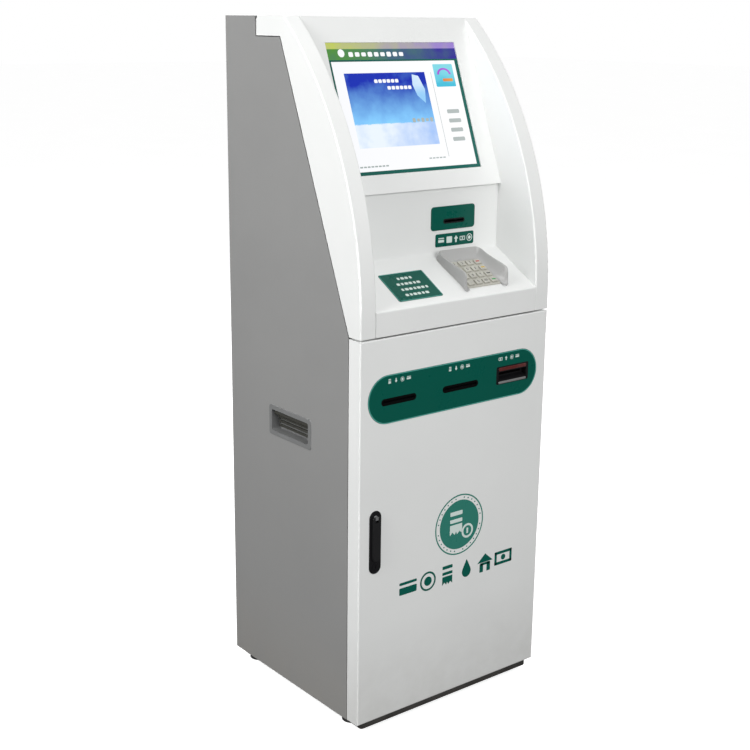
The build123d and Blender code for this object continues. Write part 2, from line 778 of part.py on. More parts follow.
# ---------------------------------------------------------------- door lock
handle_width = 20.0
handle_thick = 5.0
handle_lift_gap = 0.5
handle_bottom = 428.0
handle_pin_r = 1.5
fork_gap = 4.3
fork_depth = 10.0
head_half = 4.0
cam_reach = 34.0
cam_half = 8.0
cam_thick = 3.0
cam_y = frame_back_y + 3.0
handle_back_y = front_y - escutcheon_proud - handle_lift_gap
handle_pin_y = handle_back_y - handle_thick / 2

with BuildPart() as lock_escutcheon:
    with BuildSketch(Plane.XZ.offset(-front_y)):
        with Locations((lock_x, lock_bottom + lock_length / 2)):
            SlotOverall(lock_length, lock_width, rotation=90)
    extrude(amount=escutcheon_proud)
    fillet(lock_escutcheon.faces().sort_by(Axis.Y)[0].edges(), radius=1.2)
    with BuildSketch(Plane.XZ.offset(-front_y + escutcheon_proud)):
        with Locations((lock_x, spindle_z)):
            Circle(spindle_r + running_gap)
    extrude(amount=-2 * escutcheon_proud, mode=Mode.SUBTRACT)
    with BuildSketch(Plane.XZ.offset(-front_y + escutcheon_proud)):
        with Locations((lock_x, lock_core_z)):
            Circle(lock_core_r)
            Rectangle(key_slot_width, key_slot_length, mode=Mode.SUBTRACT)
    extrude(amount=lock_core_proud)
lock_escutcheon.part.label = "lock_escutcheon"
export_step(lock_escutcheon.part, "parts/lock_escutcheon.step")

with BuildPart() as lock_spindle:
    with BuildSketch(Plane.XZ.offset(-front_y + escutcheon_proud)):
        with Locations((lock_x, spindle_z)):
            Circle(spindle_r)
    extrude(amount=-(cam_y + cam_thick - front_y + escutcheon_proud))
    with BuildSketch(Plane.XZ.offset(-front_y + escutcheon_proud)):
        with Locations((lock_x, spindle_z)):
            Rectangle(2 * head_half, 2 * head_half)
    extrude(amount=handle_lift_gap + handle_thick)
    with BuildSketch(Plane.YZ.offset(lock_x - handle_width / 2 + 1)):
        with Locations((handle_pin_y, spindle_z)):
            Circle(handle_pin_r)
    extrude(amount=handle_width - 2)
    with BuildSketch(Plane.XZ.offset(-cam_y)):
        with Locations((lock_x, spindle_z + cam_reach / 2)):
            Rectangle(2 * cam_half, cam_reach)
        with Locations((lock_x, spindle_z)):
            Circle(cam_half + 2)
    extrude(amount=-cam_thick)
lock_spindle.part.label = "lock_spindle"
export_step(lock_spindle.part, "parts/lock_spindle.step")

with BuildPart() as lock_handle:
    handle_length = spindle_z - handle_bottom
    with BuildSketch(Plane.YZ.offset(lock_x - handle_width / 2)):
        with Locations((handle_pin_y, spindle_z - handle_length / 2)):
            Rectangle(handle_thick, handle_length)
        with Locations((handle_pin_y, spindle_z)):
            Circle(handle_thick / 2)
            Circle(handle_pin_r + running_gap, mode=Mode.SUBTRACT)
    extrude(amount=handle_width)
    with BuildSketch(Plane.XZ.offset(-handle_pin_y + handle_thick)):
        with Locations((lock_x, spindle_z)):
            Rectangle(2 * fork_gap, 2 * fork_depth)
    extrude(amount=-2 * handle_thick, mode=Mode.SUBTRACT)
    lower_corners = lock_handle.edges().filter_by(Axis.Y).group_by(Axis.Z)[0]
    fillet(lower_corners, radius=handle_width / 2 - 1)
lock_handle.part.label = "lock_handle"
export_step(lock_handle.part, "parts/lock_handle.step")

# ---------------------------------------------------------------- hood cheeks and top
outer_skin = [
    (door_back_y, hood_bottom),
    (slant_top_y, slant_top_z),
    (hood_back_y, slant_top_z),
    (hood_back_y, height - 2 * hood_corner + 2),
    (hood_back_y - hood_corner, height),
]
slant_rate = (slant_top_z - hood_bottom) / (slant_top_y - door_back_y)
wing_top_z = hood_bottom + (wing_back_y - door_back_y) * slant_rate


def cheek_outline(inset, rear):
    """Outline of a cheek in Y and Z, its front, top and bottom moved in by inset, its rear as listed."""
    top_z = height - inset
    low_z = hood_bottom + inset
    middle_z = (cheek_arc_z + top_z) / 2
    Polyline(rear[0], (front_y + inset, low_z), (front_y + inset, cheek_arc_z))
    ThreePointArc(
        (front_y + inset, cheek_arc_z),
        (arc_y(middle_z, inset), middle_z),
        (arc_y(top_z, inset), top_z),
    )
    Polyline((arc_y(top_z, inset), top_z), *reversed(rear))


pocket_rear = [
    (wing_back_y + 1, hood_bottom + sheet),
    (wing_back_y + 1, wing_top_z),
    (slant_top_y + 1, slant_top_z - 1),
    (hood_back_y + 1, slant_top_z - 1),
    (hood_back_y + 1, height - sheet),
]
wing_outline = [
    (door_back_y, hood_bottom),
    (wing_back_y, hood_bottom),
    (wing_back_y, wing_top_z),
]

with BuildPart() as left_cheek:
    with BuildSketch(Plane.YZ.offset(-half_width)):
        with BuildLine():
            cheek_outline(0, outer_skin)
        make_face()
    extrude(amount=cheek_width)
    fillet(left_cheek.edges().filter_by(GeomType.CIRCLE), radius=edge_round)
    with BuildSketch(Plane.YZ.offset(-half_width + sheet)):
        with BuildLine():
            cheek_outline(sheet, pocket_rear)
        make_face()
    extrude(amount=cheek_width - 2 * sheet, mode=Mode.SUBTRACT)
    with BuildSketch(Plane.YZ.offset(-cheek_inner_x - sheet)):
        Polygon(*wing_outline, align=None)
    extrude(amount=sheet)
left_cheek.part.label = "left_cheek"
export_step(left_cheek.part, "parts/left_cheek.step")

with BuildPart() as right_cheek:
    mirror(left_cheek.part, about=Plane.YZ)
right_cheek.part.label = "right_cheek"
export_step(right_cheek.part, "parts/right_cheek.step")

with BuildPart() as hood_top:
    hood_top_length = hood_back_y - hood_corner - screen_top_y
    with BuildSketch(Plane.XY.offset(height - sheet)):
        with Locations((0, screen_top_y + hood_top_length / 2)):
            Rectangle(2 * cheek_inner_x, hood_top_length)
    extrude(amount=sheet)
    with BuildSketch(Plane.XY.offset(height - tray_flange)):
        for side in (-1, 1):
            with Locations((side * (cheek_inner_x - sheet / 2), screen_top_y + hood_top_length / 2 + 12)):
                Rectangle(sheet, hood_top_length - 24)
    extrude(amount=tray_flange - sheet)
hood_top.part.label = "hood_top"
export_step(hood_top.part, "parts/hood_top.step")

# ---------------------------------------------------------------- screen and its panel
panel_thick = 3.0
active_width = 376.3
active_height = 301.1
screen_margin_top = 59.0
glass_margin = 4.0
glass_thick = 6.0
monitor_width = 420.0
monitor_height = 345.0
monitor_depth = 42.0

screen_run = screen_top_y - screen_bottom_y
screen_drop = height - screen_bottom_z
slope_length = math.hypot(screen_run, screen_drop)
screen_normal = (0, -screen_drop / slope_length, screen_run / slope_length)
screen_plane = Plane(origin=(0, screen_top_y, height), x_dir=(1, 0, 0), z_dir=screen_normal)
screen_centre_v = -(screen_margin_top + active_height / 2)

with BuildPart() as display_panel:
    with BuildSketch(Plane.YZ.offset(-cheek_inner_x)):
        with BuildLine():
            Polyline(
                (screen_top_y, height),
                (screen_bottom_y, screen_bottom_z),
                (console_wall_y, screen_bottom_z),
                (console_wall_y + panel_thick, screen_bottom_z + panel_thick),
                (screen_bottom_y + panel_thick * 1.5, screen_bottom_z + panel_thick),
                (screen_top_y + panel_thick * 0.6, height - sheet),
                (screen_top_y, height - sheet),
                (screen_top_y, height),
            )
        make_face()
    extrude(amount=2 * cheek_inner_x)
    with BuildSketch(screen_plane.offset(2)):
        with Locations((0, screen_centre_v)):
            Rectangle(active_width, active_height)
    extrude(amount=-12, mode=Mode.SUBTRACT)
display_panel.part.label = "display_panel"
export_step(display_panel.part, "parts/display_panel.step")

with BuildPart() as display_glass:
    with BuildSketch(screen_plane.offset(-panel_thick - 0.4)):
        with Locations((0, screen_centre_v)):
            RectangleRounded(active_width + 2 * glass_margin, active_height + 2 * glass_margin, 2)
    extrude(amount=-glass_thick)
display_glass.part.label = "display_glass"
export_step(display_glass.part, "parts/display_glass.step")

with BuildPart() as monitor_case:
    with BuildSketch(screen_plane.offset(-panel_thick - 0.4 - glass_thick)):
        with Locations((0, screen_centre_v)):
            RectangleRounded(monitor_width, monitor_height, 6)
    extrude(amount=-monitor_depth, taper=8)
    with BuildSketch(screen_plane.offset(-panel_thick - 0.4 - glass_thick)):
        with Locations((0, screen_centre_v)):
            Rectangle(active_width - 20, active_height - 20)
    extrude(amount=-(monitor_depth - 4), mode=Mode.SUBTRACT)
    with BuildSketch(screen_plane.offset(-panel_thick - 0.4)):
        with Locations((0, screen_centre_v)):
            RectangleRounded(monitor_width, monitor_height, 6)
            Rectangle(
                active_width + 2 * glass_margin + fit_gap,
                active_height + 2 * glass_margin + fit_gap,
                mode=Mode.SUBTRACT,
            )
    extrude(amount=-glass_thick)
monitor_case.part.label = "monitor_case"
export_step(monitor_case.part, "parts/monitor_case.step")

# ---------------------------------------------------------------- console
card_x = 97.0
card_z = screen_bottom_z - 70.5
card_bezel_width = 134.0
card_bezel_height = 55.0
card_bezel_proud = 2.5
card_slot_x = 99.0
card_slot_z = screen_bottom_z - 78.0
nose_width = 66.0
nose_height = 11.0
card_slot_width = 58.0
card_slot_height = 5.4
reader_depth = 120.0
label_x = 104.0
label_z = screen_bottom_z - 122.0
label_width = 118.0
label_height = 30.0
label_thick = 1.0
info_x = -96.0
info_v = 66.5
info_width = 126.0
info_length = 91.0
keypad_x = 98.0
keypad_v = 76.0
key_pitch_x = 24.0
key_pitch_v = 22.0
key_width = 18.0
key_length = 15.5
key_rise = 6.5
key_depth = 3.0
key_travel = 2.0
keypad_width = 100.0
keypad_length = 92.0
keypad_rise = 3.0
keypad_sink = 36.0
shield_width = 133.0
shield_length = 130.0
shield_front_v = 20.0
shield_wall = 15.0
shield_height = 36.0
shield_front_height = 7.0
shield_back_height = 19.0
shield_corner = 8.0
shield_crest = 0.22
shield_crest_end = 0.36
console_thick = 2.5
reader_height = 44.0
reader_side = 12.0

deck_rise = deck_back_z - deck_front_z
deck_run = console_wall_y - front_y
deck_length = math.hypot(deck_rise, deck_run)
deck_normal = (0, -deck_rise / deck_length, deck_run / deck_length)
deck_plane = Plane(origin=(0, front_y, deck_front_z), x_dir=(1, 0, 0), z_dir=deck_normal)
deck_side = Plane(origin=(0, front_y, deck_front_z), x_dir=deck_plane.y_dir, z_dir=(1, 0, 0))
wall_plane = Plane.XZ.offset(-console_wall_y)

with BuildPart() as console_panel:
    with BuildSketch(Plane.YZ.offset(-cheek_inner_x)):
        with BuildLine():
            FilletPolyline(
                (console_wall_y, screen_bottom_z),
                (console_wall_y, deck_back_z),
                (front_y, deck_front_z),
                (front_y, hood_bottom),
                radius=bend_r,
            )
            offset(amount=console_thick, side=Side.LEFT)
        make_face()
    extrude(amount=2 * cheek_inner_x)
    with BuildSketch(deck_plane.offset(4)):
        with Locations((keypad_x, keypad_v)):
            Rectangle(keypad_width + fit_gap, keypad_length + fit_gap)
    extrude(amount=-12, mode=Mode.SUBTRACT)
    with BuildSketch(wall_plane.offset(2)):
        with Locations((card_slot_x, card_slot_z)):
            SlotOverall(nose_width + fit_gap, nose_height + fit_gap)
    extrude(amount=-8, mode=Mode.SUBTRACT)
console_panel.part.label = "console_panel"
export_step(console_panel.part, "parts/console_panel.step")

with BuildPart() as card_reader_bezel:
    with BuildSketch(wall_plane):
        with Locations((card_x, card_z)):
            RectangleRounded(card_bezel_width, card_bezel_height, 8)
    extrude(amount=card_bezel_proud)
    fillet(card_reader_bezel.faces().sort_by(Axis.Y)[0].edges(), radius=1.2)
    with BuildSketch(wall_plane):
        with Locations((card_slot_x, card_slot_z)):
            SlotOverall(nose_width + fit_gap, nose_height + fit_gap)
    extrude(amount=card_bezel_proud, mode=Mode.SUBTRACT)
card_reader_bezel.part.label = "card_reader_bezel"
export_step(card_reader_bezel.part, "parts/card_reader_bezel.step")

with BuildPart() as card_reader:
    reader_front_y = console_wall_y + console_thick
    with BuildSketch(Plane.XZ.offset(-reader_front_y)):
        with Locations((card_slot_x, card_slot_z)):
            Rectangle(nose_width + 2 * reader_side, reader_height)
    extrude(amount=-reader_depth)
    with BuildSketch(Plane.XZ.offset(-reader_front_y)):
        with Locations((card_slot_x, card_slot_z)):
            SlotOverall(nose_width, nose_height)
    extrude(amount=console_thick + card_bezel_proud)
    with BuildSketch(Plane.XZ.offset(-reader_front_y + console_thick + card_bezel_proud)):
        with Locations((card_slot_x, card_slot_z)):
            Rectangle(card_slot_width, card_slot_height)
    extrude(amount=-(reader_depth - 20), mode=Mode.SUBTRACT)
card_reader.part.label = "card_reader"
export_step(card_reader.part, "parts/card_reader.step")

with BuildPart() as label_plates:
    with BuildSketch(wall_plane):
        with Locations((label_x, label_z)):
            RectangleRounded(label_width, label_height, 4)
    extrude(amount=label_thick)
    with BuildSketch(deck_plane):
        with Locations((info_x, info_v)):
            RectangleRounded(info_width, info_length, 5)
    extrude(amount=label_thick)
label_plates.part.label = "label_plates"
export_step(label_plates.part, "parts/label_plates.step")

key_places = [
    (keypad_x + (column - 1.5) * key_pitch_x, keypad_v + (1.5 - row) * key_pitch_v)
    for row in range(4)
    for column in range(4)
]

with BuildPart() as keypad_case:
    with BuildSketch(deck_plane.offset(keypad_rise)):
        with Locations((keypad_x, keypad_v)):
            Rectangle(keypad_width, keypad_length)
    extrude(amount=-(keypad_rise + keypad_sink))
    with BuildSketch(deck_plane.offset(keypad_rise)):
        with Locations(*key_places):
            RectangleRounded(key_width + 2 * fit_gap, key_length + 2 * fit_gap, 2)
    extrude(amount=-(keypad_rise + key_depth + key_travel + 0.5), mode=Mode.SUBTRACT)
keypad_case.part.label = "keypad_case"
export_step(keypad_case.part, "parts/keypad_case.step")

for number, place in enumerate(key_places):
    with BuildPart() as key:
        with BuildSketch(deck_plane.offset(-key_depth)):
            with Locations(place):
                RectangleRounded(key_width, key_length, 2)
        extrude(amount=key_depth + key_rise)
        key_top = key.faces().filter_by(deck_plane).sort_by(Axis.Z)[-1]
        fillet(key_top.edges(), radius=1.2)
    key.part.label = f"key_{number + 1:02d}"
    export_step(key.part, f"parts/key_{number + 1:02d}.step")

with BuildPart() as keypad_shield:
    shield_centre_v = shield_front_v + shield_length / 2
    with BuildSketch(deck_plane):
        with Locations((keypad_x, shield_centre_v)):
            RectangleRounded(shield_width, shield_length, shield_corner)
        inner_width = shield_width - 2 * shield_wall
        with Locations((keypad_x, shield_centre_v - shield_wall)):
            Rectangle(inner_width, shield_length, mode=Mode.SUBTRACT)
    extrude(amount=shield_height)
    with BuildSketch(deck_side.offset(keypad_x - shield_width)):
        with BuildLine():
            back_v = shield_front_v + shield_length
            Polyline(
                (shield_front_v - 1, 0),
                (shield_front_v - 1, shield_front_height),
                (shield_front_v + shield_crest * shield_length, shield_height),
                (shield_front_v + shield_crest_end * shield_length, shield_height),
                (back_v + 1, shield_back_height),
                (back_v + 1, 0),
                (shield_front_v - 1, 0),
            )
        make_face()
    extrude(amount=2 * shield_width, mode=Mode.INTERSECT)
keypad_shield.part.label = "keypad_shield"
export_step(keypad_shield.part, "parts/keypad_shield.step")

# ---------------------------------------------------------------- hood hinge
knuckle_r = 4.0
hinge_pin_r = 1.5
knuckle_length = 38.0
knuckle_axial_gap = 0.5
knuckle_count = 11
leaf_reach = 30.0
leaf_thick = 2.5
leaf_clear = 4.5
hinge_step = knuckle_length + knuckle_axial_gap
hinge_length = knuckle_count * hinge_step - knuckle_axial_gap
leaf_top = height - sheet


def knuckle_start(index):
    """Left end of a knuckle along X."""
    return -hinge_length / 2 + index * hinge_step


with BuildPart() as hood_hinge_fixed:
    with BuildSketch(Plane.YZ.offset(-hinge_length / 2)):
        with Locations((hood_hinge_y + leaf_clear + leaf_reach / 2, leaf_top - leaf_thick / 2)):
            Rectangle(leaf_reach, leaf_thick)
    extrude(amount=hinge_length)
    for index in range(0, knuckle_count, 2):
        with BuildSketch(Plane.YZ.offset(knuckle_start(index))):
            with Locations((hood_hinge_y, hood_hinge_z)):
                Circle(knuckle_r)
            with Locations((hood_hinge_y + (leaf_clear + 1) / 2, leaf_top - leaf_thick / 2)):
                Rectangle(leaf_clear + 1, leaf_thick)
        extrude(amount=knuckle_length)
    with BuildSketch(Plane.YZ.offset(-hinge_length / 2)):
        with Locations((hood_hinge_y, hood_hinge_z)):
            Circle(hinge_pin_r)
    extrude(amount=hinge_length)
hood_hinge_fixed.part.label = "hood_hinge_fixed"
export_step(hood_hinge_fixed.part, "parts/hood_hinge_fixed.step")

with BuildPart() as hood_hinge_leaf:
    with BuildSketch(Plane.YZ.offset(-hinge_length / 2)):
        with Locations((hood_hinge_y - leaf_clear - 1.5 - leaf_reach / 2, leaf_top - leaf_thick / 2)):
            Rectangle(leaf_reach, leaf_thick)
    extrude(amount=hinge_length)
    for index in range(1, knuckle_count, 2):
        with BuildSketch(Plane.YZ.offset(knuckle_start(index))):
            with Locations((hood_hinge_y, hood_hinge_z)):
                Circle(knuckle_r)
            with Locations((hood_hinge_y - (leaf_clear + 2.5) / 2, leaf_top - leaf_thick / 2)):
                Rectangle(leaf_clear + 2.5, leaf_thick)
            with Locations((hood_hinge_y, hood_hinge_z)):
                Circle(hinge_pin_r + running_gap, mode=Mode.SUBTRACT)
        extrude(amount=knuckle_length)
hood_hinge_leaf.part.label = "hood_hinge_leaf"
export_step(hood_hinge_leaf.part, "parts/hood_hinge_leaf.step")
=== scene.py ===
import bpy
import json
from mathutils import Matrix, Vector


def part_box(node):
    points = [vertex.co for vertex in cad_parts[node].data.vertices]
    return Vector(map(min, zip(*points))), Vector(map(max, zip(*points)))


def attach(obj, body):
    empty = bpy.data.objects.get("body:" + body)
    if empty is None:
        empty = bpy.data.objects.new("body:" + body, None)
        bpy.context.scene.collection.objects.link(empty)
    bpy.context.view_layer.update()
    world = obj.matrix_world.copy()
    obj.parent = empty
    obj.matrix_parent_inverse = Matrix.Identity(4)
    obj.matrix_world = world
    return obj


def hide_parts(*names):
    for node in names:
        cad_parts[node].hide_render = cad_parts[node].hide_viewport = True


bl_info = {
    "name": "Payment Kiosk",
    "version": (1, 0, 0),
    "blender": (4, 5, 0),
    "location": "View3D > Sidebar > Kiosk",
    "description": "Finishes and fittings of a free-standing payment kiosk",
    "category": "Object",
}

import json
import math

import bmesh
import bpy
from bpy.props import FloatProperty, FloatVectorProperty, PointerProperty
from mathutils import Matrix, Vector

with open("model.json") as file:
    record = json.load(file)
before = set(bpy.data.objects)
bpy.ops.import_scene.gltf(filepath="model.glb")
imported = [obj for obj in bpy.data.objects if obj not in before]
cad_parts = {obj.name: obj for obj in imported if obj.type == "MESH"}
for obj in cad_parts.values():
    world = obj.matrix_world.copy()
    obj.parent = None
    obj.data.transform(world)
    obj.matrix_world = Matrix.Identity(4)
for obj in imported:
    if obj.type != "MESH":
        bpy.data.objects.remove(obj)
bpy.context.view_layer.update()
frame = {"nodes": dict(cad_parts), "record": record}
NODES = frame["nodes"]
MM = 0.001
CLOSE = 1e-6
RIGHT = Vector((1, 0, 0))
FRONT = Vector((0, -1, 0))
REAR = Vector((0, 1, 0))
DECK_UP = (0, -0.496, 0.868)
SCREEN_OUT = (0, -0.93, 0.36)

DOOR_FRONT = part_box("door_skin")[0].y
REAR_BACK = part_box("rear_panel")[1].y


# ------------------------------------------------------------------ sizes and colours
class KioskSizes(bpy.types.PropertyGroup):
    """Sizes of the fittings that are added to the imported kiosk."""

    print_thick: FloatProperty(
        name="Print thickness", description="Height of printed marks and film above their plate",
        default=0.25 * MM, min=0, unit="LENGTH",
    )
    seal_width: FloatProperty(
        name="Seal width", description="Width of the foam seal round the door frame",
        default=9 * MM, min=0, unit="LENGTH",
    )
    screw_head: FloatProperty(
        name="Screw head", description="Diameter of the pan-head screws",
        default=7 * MM, min=0, unit="LENGTH",
    )
    emblem_size: FloatProperty(
        name="Emblem size", description="Diameter of the round mark on the door",
        default=150 * MM, min=0, unit="LENGTH",
    )
    emblem_height: FloatProperty(
        name="Emblem height", description="Height of the round mark's centre above the floor",
        default=454 * MM, min=0, unit="LENGTH",
    )
    sign_height: FloatProperty(
        name="Sign height", description="Height of the row of service signs above the floor",
        default=335 * MM, min=0, unit="LENGTH",
    )


class KioskColours(bpy.types.PropertyGroup):
    """Paint and print colours."""

    white: FloatVectorProperty(
        name="White paint", description="Powder coat of the hood and the door",
        default=(0.80, 0.81, 0.80), subtype="COLOR", min=0, max=1,
    )
    grey: FloatVectorProperty(
        name="Grey paint", description="Powder coat of the cabinet",
        default=(0.270, 0.270, 0.267), subtype="COLOR", min=0, max=1,
    )
    green: FloatVectorProperty(
        name="Green film", description="Film of the outlet panel, the labels and the signs",
        default=(0.0, 0.088, 0.062), subtype="COLOR", min=0, max=1,
    )
    plastic: FloatVectorProperty(
        name="Black plastic", description="Moulded mouths, bezels and grips",
        default=(0.006, 0.006, 0.007), subtype="COLOR", min=0, max=1,
    )
    steel: FloatVectorProperty(
        name="Stainless steel", description="Keypad plate and keys",
        default=(0.60, 0.59, 0.53), subtype="COLOR", min=0, max=1,
    )


class KioskCamera(bpy.types.PropertyGroup):
    """Where the camera stands."""

    place: FloatVectorProperty(
        name="Place", description="Camera position",
        default=(-1.936, -2.385, 1.598), subtype="TRANSLATION", unit="LENGTH",
    )
    pan: FloatProperty(
        name="Pan", description="Turn to the right from the +Y axis",
        default=math.radians(38.53), subtype="ANGLE", unit="ROTATION",
    )
    tilt: FloatProperty(
        name="Tilt", description="Downward tilt",
        default=math.radians(15.20), subtype="ANGLE", unit="ROTATION",
    )
    roll: FloatProperty(
        name="Roll", description="Roll about the view axis",
        default=math.radians(0.64), subtype="ANGLE", unit="ROTATION",
    )
    lens: FloatProperty(
        name="Lens", description="Focal length in millimetres on a 36 mm sensor",
        default=63.1, min=1,
    )


# ------------------------------------------------------------------ shader nodes and groups
def feed(tree, node, **inputs):
    """Numbers, colours or links put into a node's inputs; an underscore in a name stands for a space."""
    for name, value in inputs.items():
        feed_socket(tree, node.inputs[name.replace("_", " ")], value)


def feed_socket(tree, socket, value):
    """A number, colour or link put into one socket."""
    if isinstance(value, bpy.types.NodeSocket):
        tree.links.new(value, socket)
    else:
        socket.default_value = value


def add_node(tree, kind, **inputs):
    """A shader node with some of its inputs fed."""
    node = tree.nodes.new("ShaderNode" + kind)
    feed(tree, node, **inputs)
    return node


def coordinates(tree):
    """The object coordinates, and their separate axes."""
    where = add_node(tree, "TexCoord").outputs["Object"]
    return where, add_node(tree, "SeparateXYZ", Vector=where).outputs


def noise(tree, where, scale, detail, roughness=0.5):
    """The value of a noise texture."""
    node = add_node(tree, "TexNoise", Vector=where, Scale=scale, Detail=detail, Roughness=roughness)
    return node.outputs["Fac"]


def remap(tree, value, low, high, out_low, out_high):
    """Value mapped from one range to another, clamped."""
    node = add_node(tree, "MapRange", Value=value, From_Min=low, From_Max=high, To_Min=out_low, To_Max=out_high)
    return node.outputs["Result"]


def maths(tree, operation, first, second):
    """The result of a math node with sockets or numbers as its two values."""
    node = tree.nodes.new("ShaderNodeMath")
    node.operation = operation
    for socket, value in zip(node.inputs, (first, second)):
        feed_socket(tree, socket, value)
    return node.outputs[0]


def blend_colours(tree, factor, first, second, mode="MIX"):
    """A colour mix of two sockets or colours."""
    node = tree.nodes.new("ShaderNodeMix")
    node.data_type = "RGBA"
    node.blend_type = mode
    feed(tree, node, Factor=factor)
    for name, value in (("A", first), ("B", second)):
        feed_socket(tree, next(s for s in node.inputs if s.name == name and s.type == "RGBA"), value)
    return next(s for s in node.outputs if s.type == "RGBA")


SOCKETS = {
    "coat": ("Peel Scale", "Roughness", "Dust"),
    "grain": ("Grain Scale", "Roughness", "Wear"),
    "brushed": ("Scratch Scale", "Roughness"),
}


def new_group(name, numbers):
    """A shader group with a colour and some number inputs: the group, its two ends and its coordinates."""
    group = bpy.data.node_groups.new(name, "ShaderNodeTree")
    for way, sockets in (("INPUT", ("Colour", *numbers)), ("OUTPUT", ("Colour", "Roughness", "Height"))):
        for socket in sockets:
            kind = "NodeSocketColor" if socket == "Colour" else "NodeSocketFloat"
            group.interface.new_socket(socket, in_out=way, socket_type=kind)
    start = group.nodes.new("NodeGroupInput")
    end = group.nodes.new("NodeGroupOutput")
    return group, start.outputs, end, coordinates(group)


def coat_group():
    """Powder coat: fine orange peel, slow changes of tone, soft handling marks and floor dust."""
    group, given, end, (where, axes) = new_group("powder_coat", SOCKETS["coat"])
    tone = noise(group, where, 3.2, 3)
    smudge = noise(group, where, 17, 6, 0.62)
    toned = blend_colours(group, remap(group, tone, 0.35, 0.65, 0.0, 0.08), given["Colour"],
                          (0.62, 0.63, 0.64, 1), "MULTIPLY")
    low = remap(group, axes["Z"], 0.03, 0.26, 1.0, 0.0)
    dusty = maths(group, "MULTIPLY", maths(group, "MULTIPLY", low, smudge), given["Dust"])
    worn = remap(group, smudge, 0.35, 0.75, -0.05, 0.10)
    feed(group, end, Colour=blend_colours(group, dusty, toned, (0.30, 0.28, 0.25, 1)),
         Roughness=maths(group, "ADD", given["Roughness"], worn),
         Height=noise(group, where, given["Peel Scale"], 2))
    return group


def grain_group():
    """Moulded plastic: a pebbled grain with slight wear of its tops."""
    group, given, end, (where, _) = new_group("moulded_grain", SOCKETS["grain"])
    cells = add_node(group, "TexVoronoi", Vector=where, Scale=given["Grain Scale"])
    cells.feature = "SMOOTH_F1"
    wear = noise(group, where, 24, 5, 0.6)
    worn = maths(group, "MULTIPLY", remap(group, wear, 0.5, 0.8, 0.0, 0.10), given["Wear"])
    polish = remap(group, wear, 0.4, 0.8, 0.05, -0.12)
    feed(group, end, Colour=blend_colours(group, worn, given["Colour"], (0.35, 0.35, 0.35, 1), "SCREEN"),
         Roughness=maths(group, "ADD", given["Roughness"], polish), Height=cells.outputs["Distance"])
    return group


def brushed_group():
    """Brushed metal: long fine scratches along X and cloudy stains."""
    group, given, end, (where, _) = new_group("brushed_metal", SOCKETS["brushed"])
    stretched = add_node(group, "Mapping", Vector=where, Scale=(1, 34, 34)).outputs["Vector"]
    scratch = noise(group, stretched, given["Scratch Scale"], 4)
    stain = noise(group, where, 30, 4)
    toned = blend_colours(group, remap(group, scratch, 0.3, 0.7, 0.0, 0.35), given["Colour"],
                          (0.45, 0.45, 0.45, 1), "MULTIPLY")
    stained = blend_colours(group, remap(group, stain, 0.5, 0.8, 0.0, 0.25), toned, (0.35, 0.34, 0.30, 1))
    rough = maths(group, "ADD", given["Roughness"], remap(group, scratch, 0.3, 0.7, -0.08, 0.12))
    feed(group, end, Colour=stained, Roughness=rough, Height=scratch)
    return group


GROUP_MAKERS = {"coat": coat_group, "grain": grain_group, "brushed": brushed_group}
GROUPS = {}


def shared_group(name):
    """The named shader group, built once."""
    if name not in GROUPS:
        GROUPS[name] = GROUP_MAKERS[name]()
    return GROUPS[name]


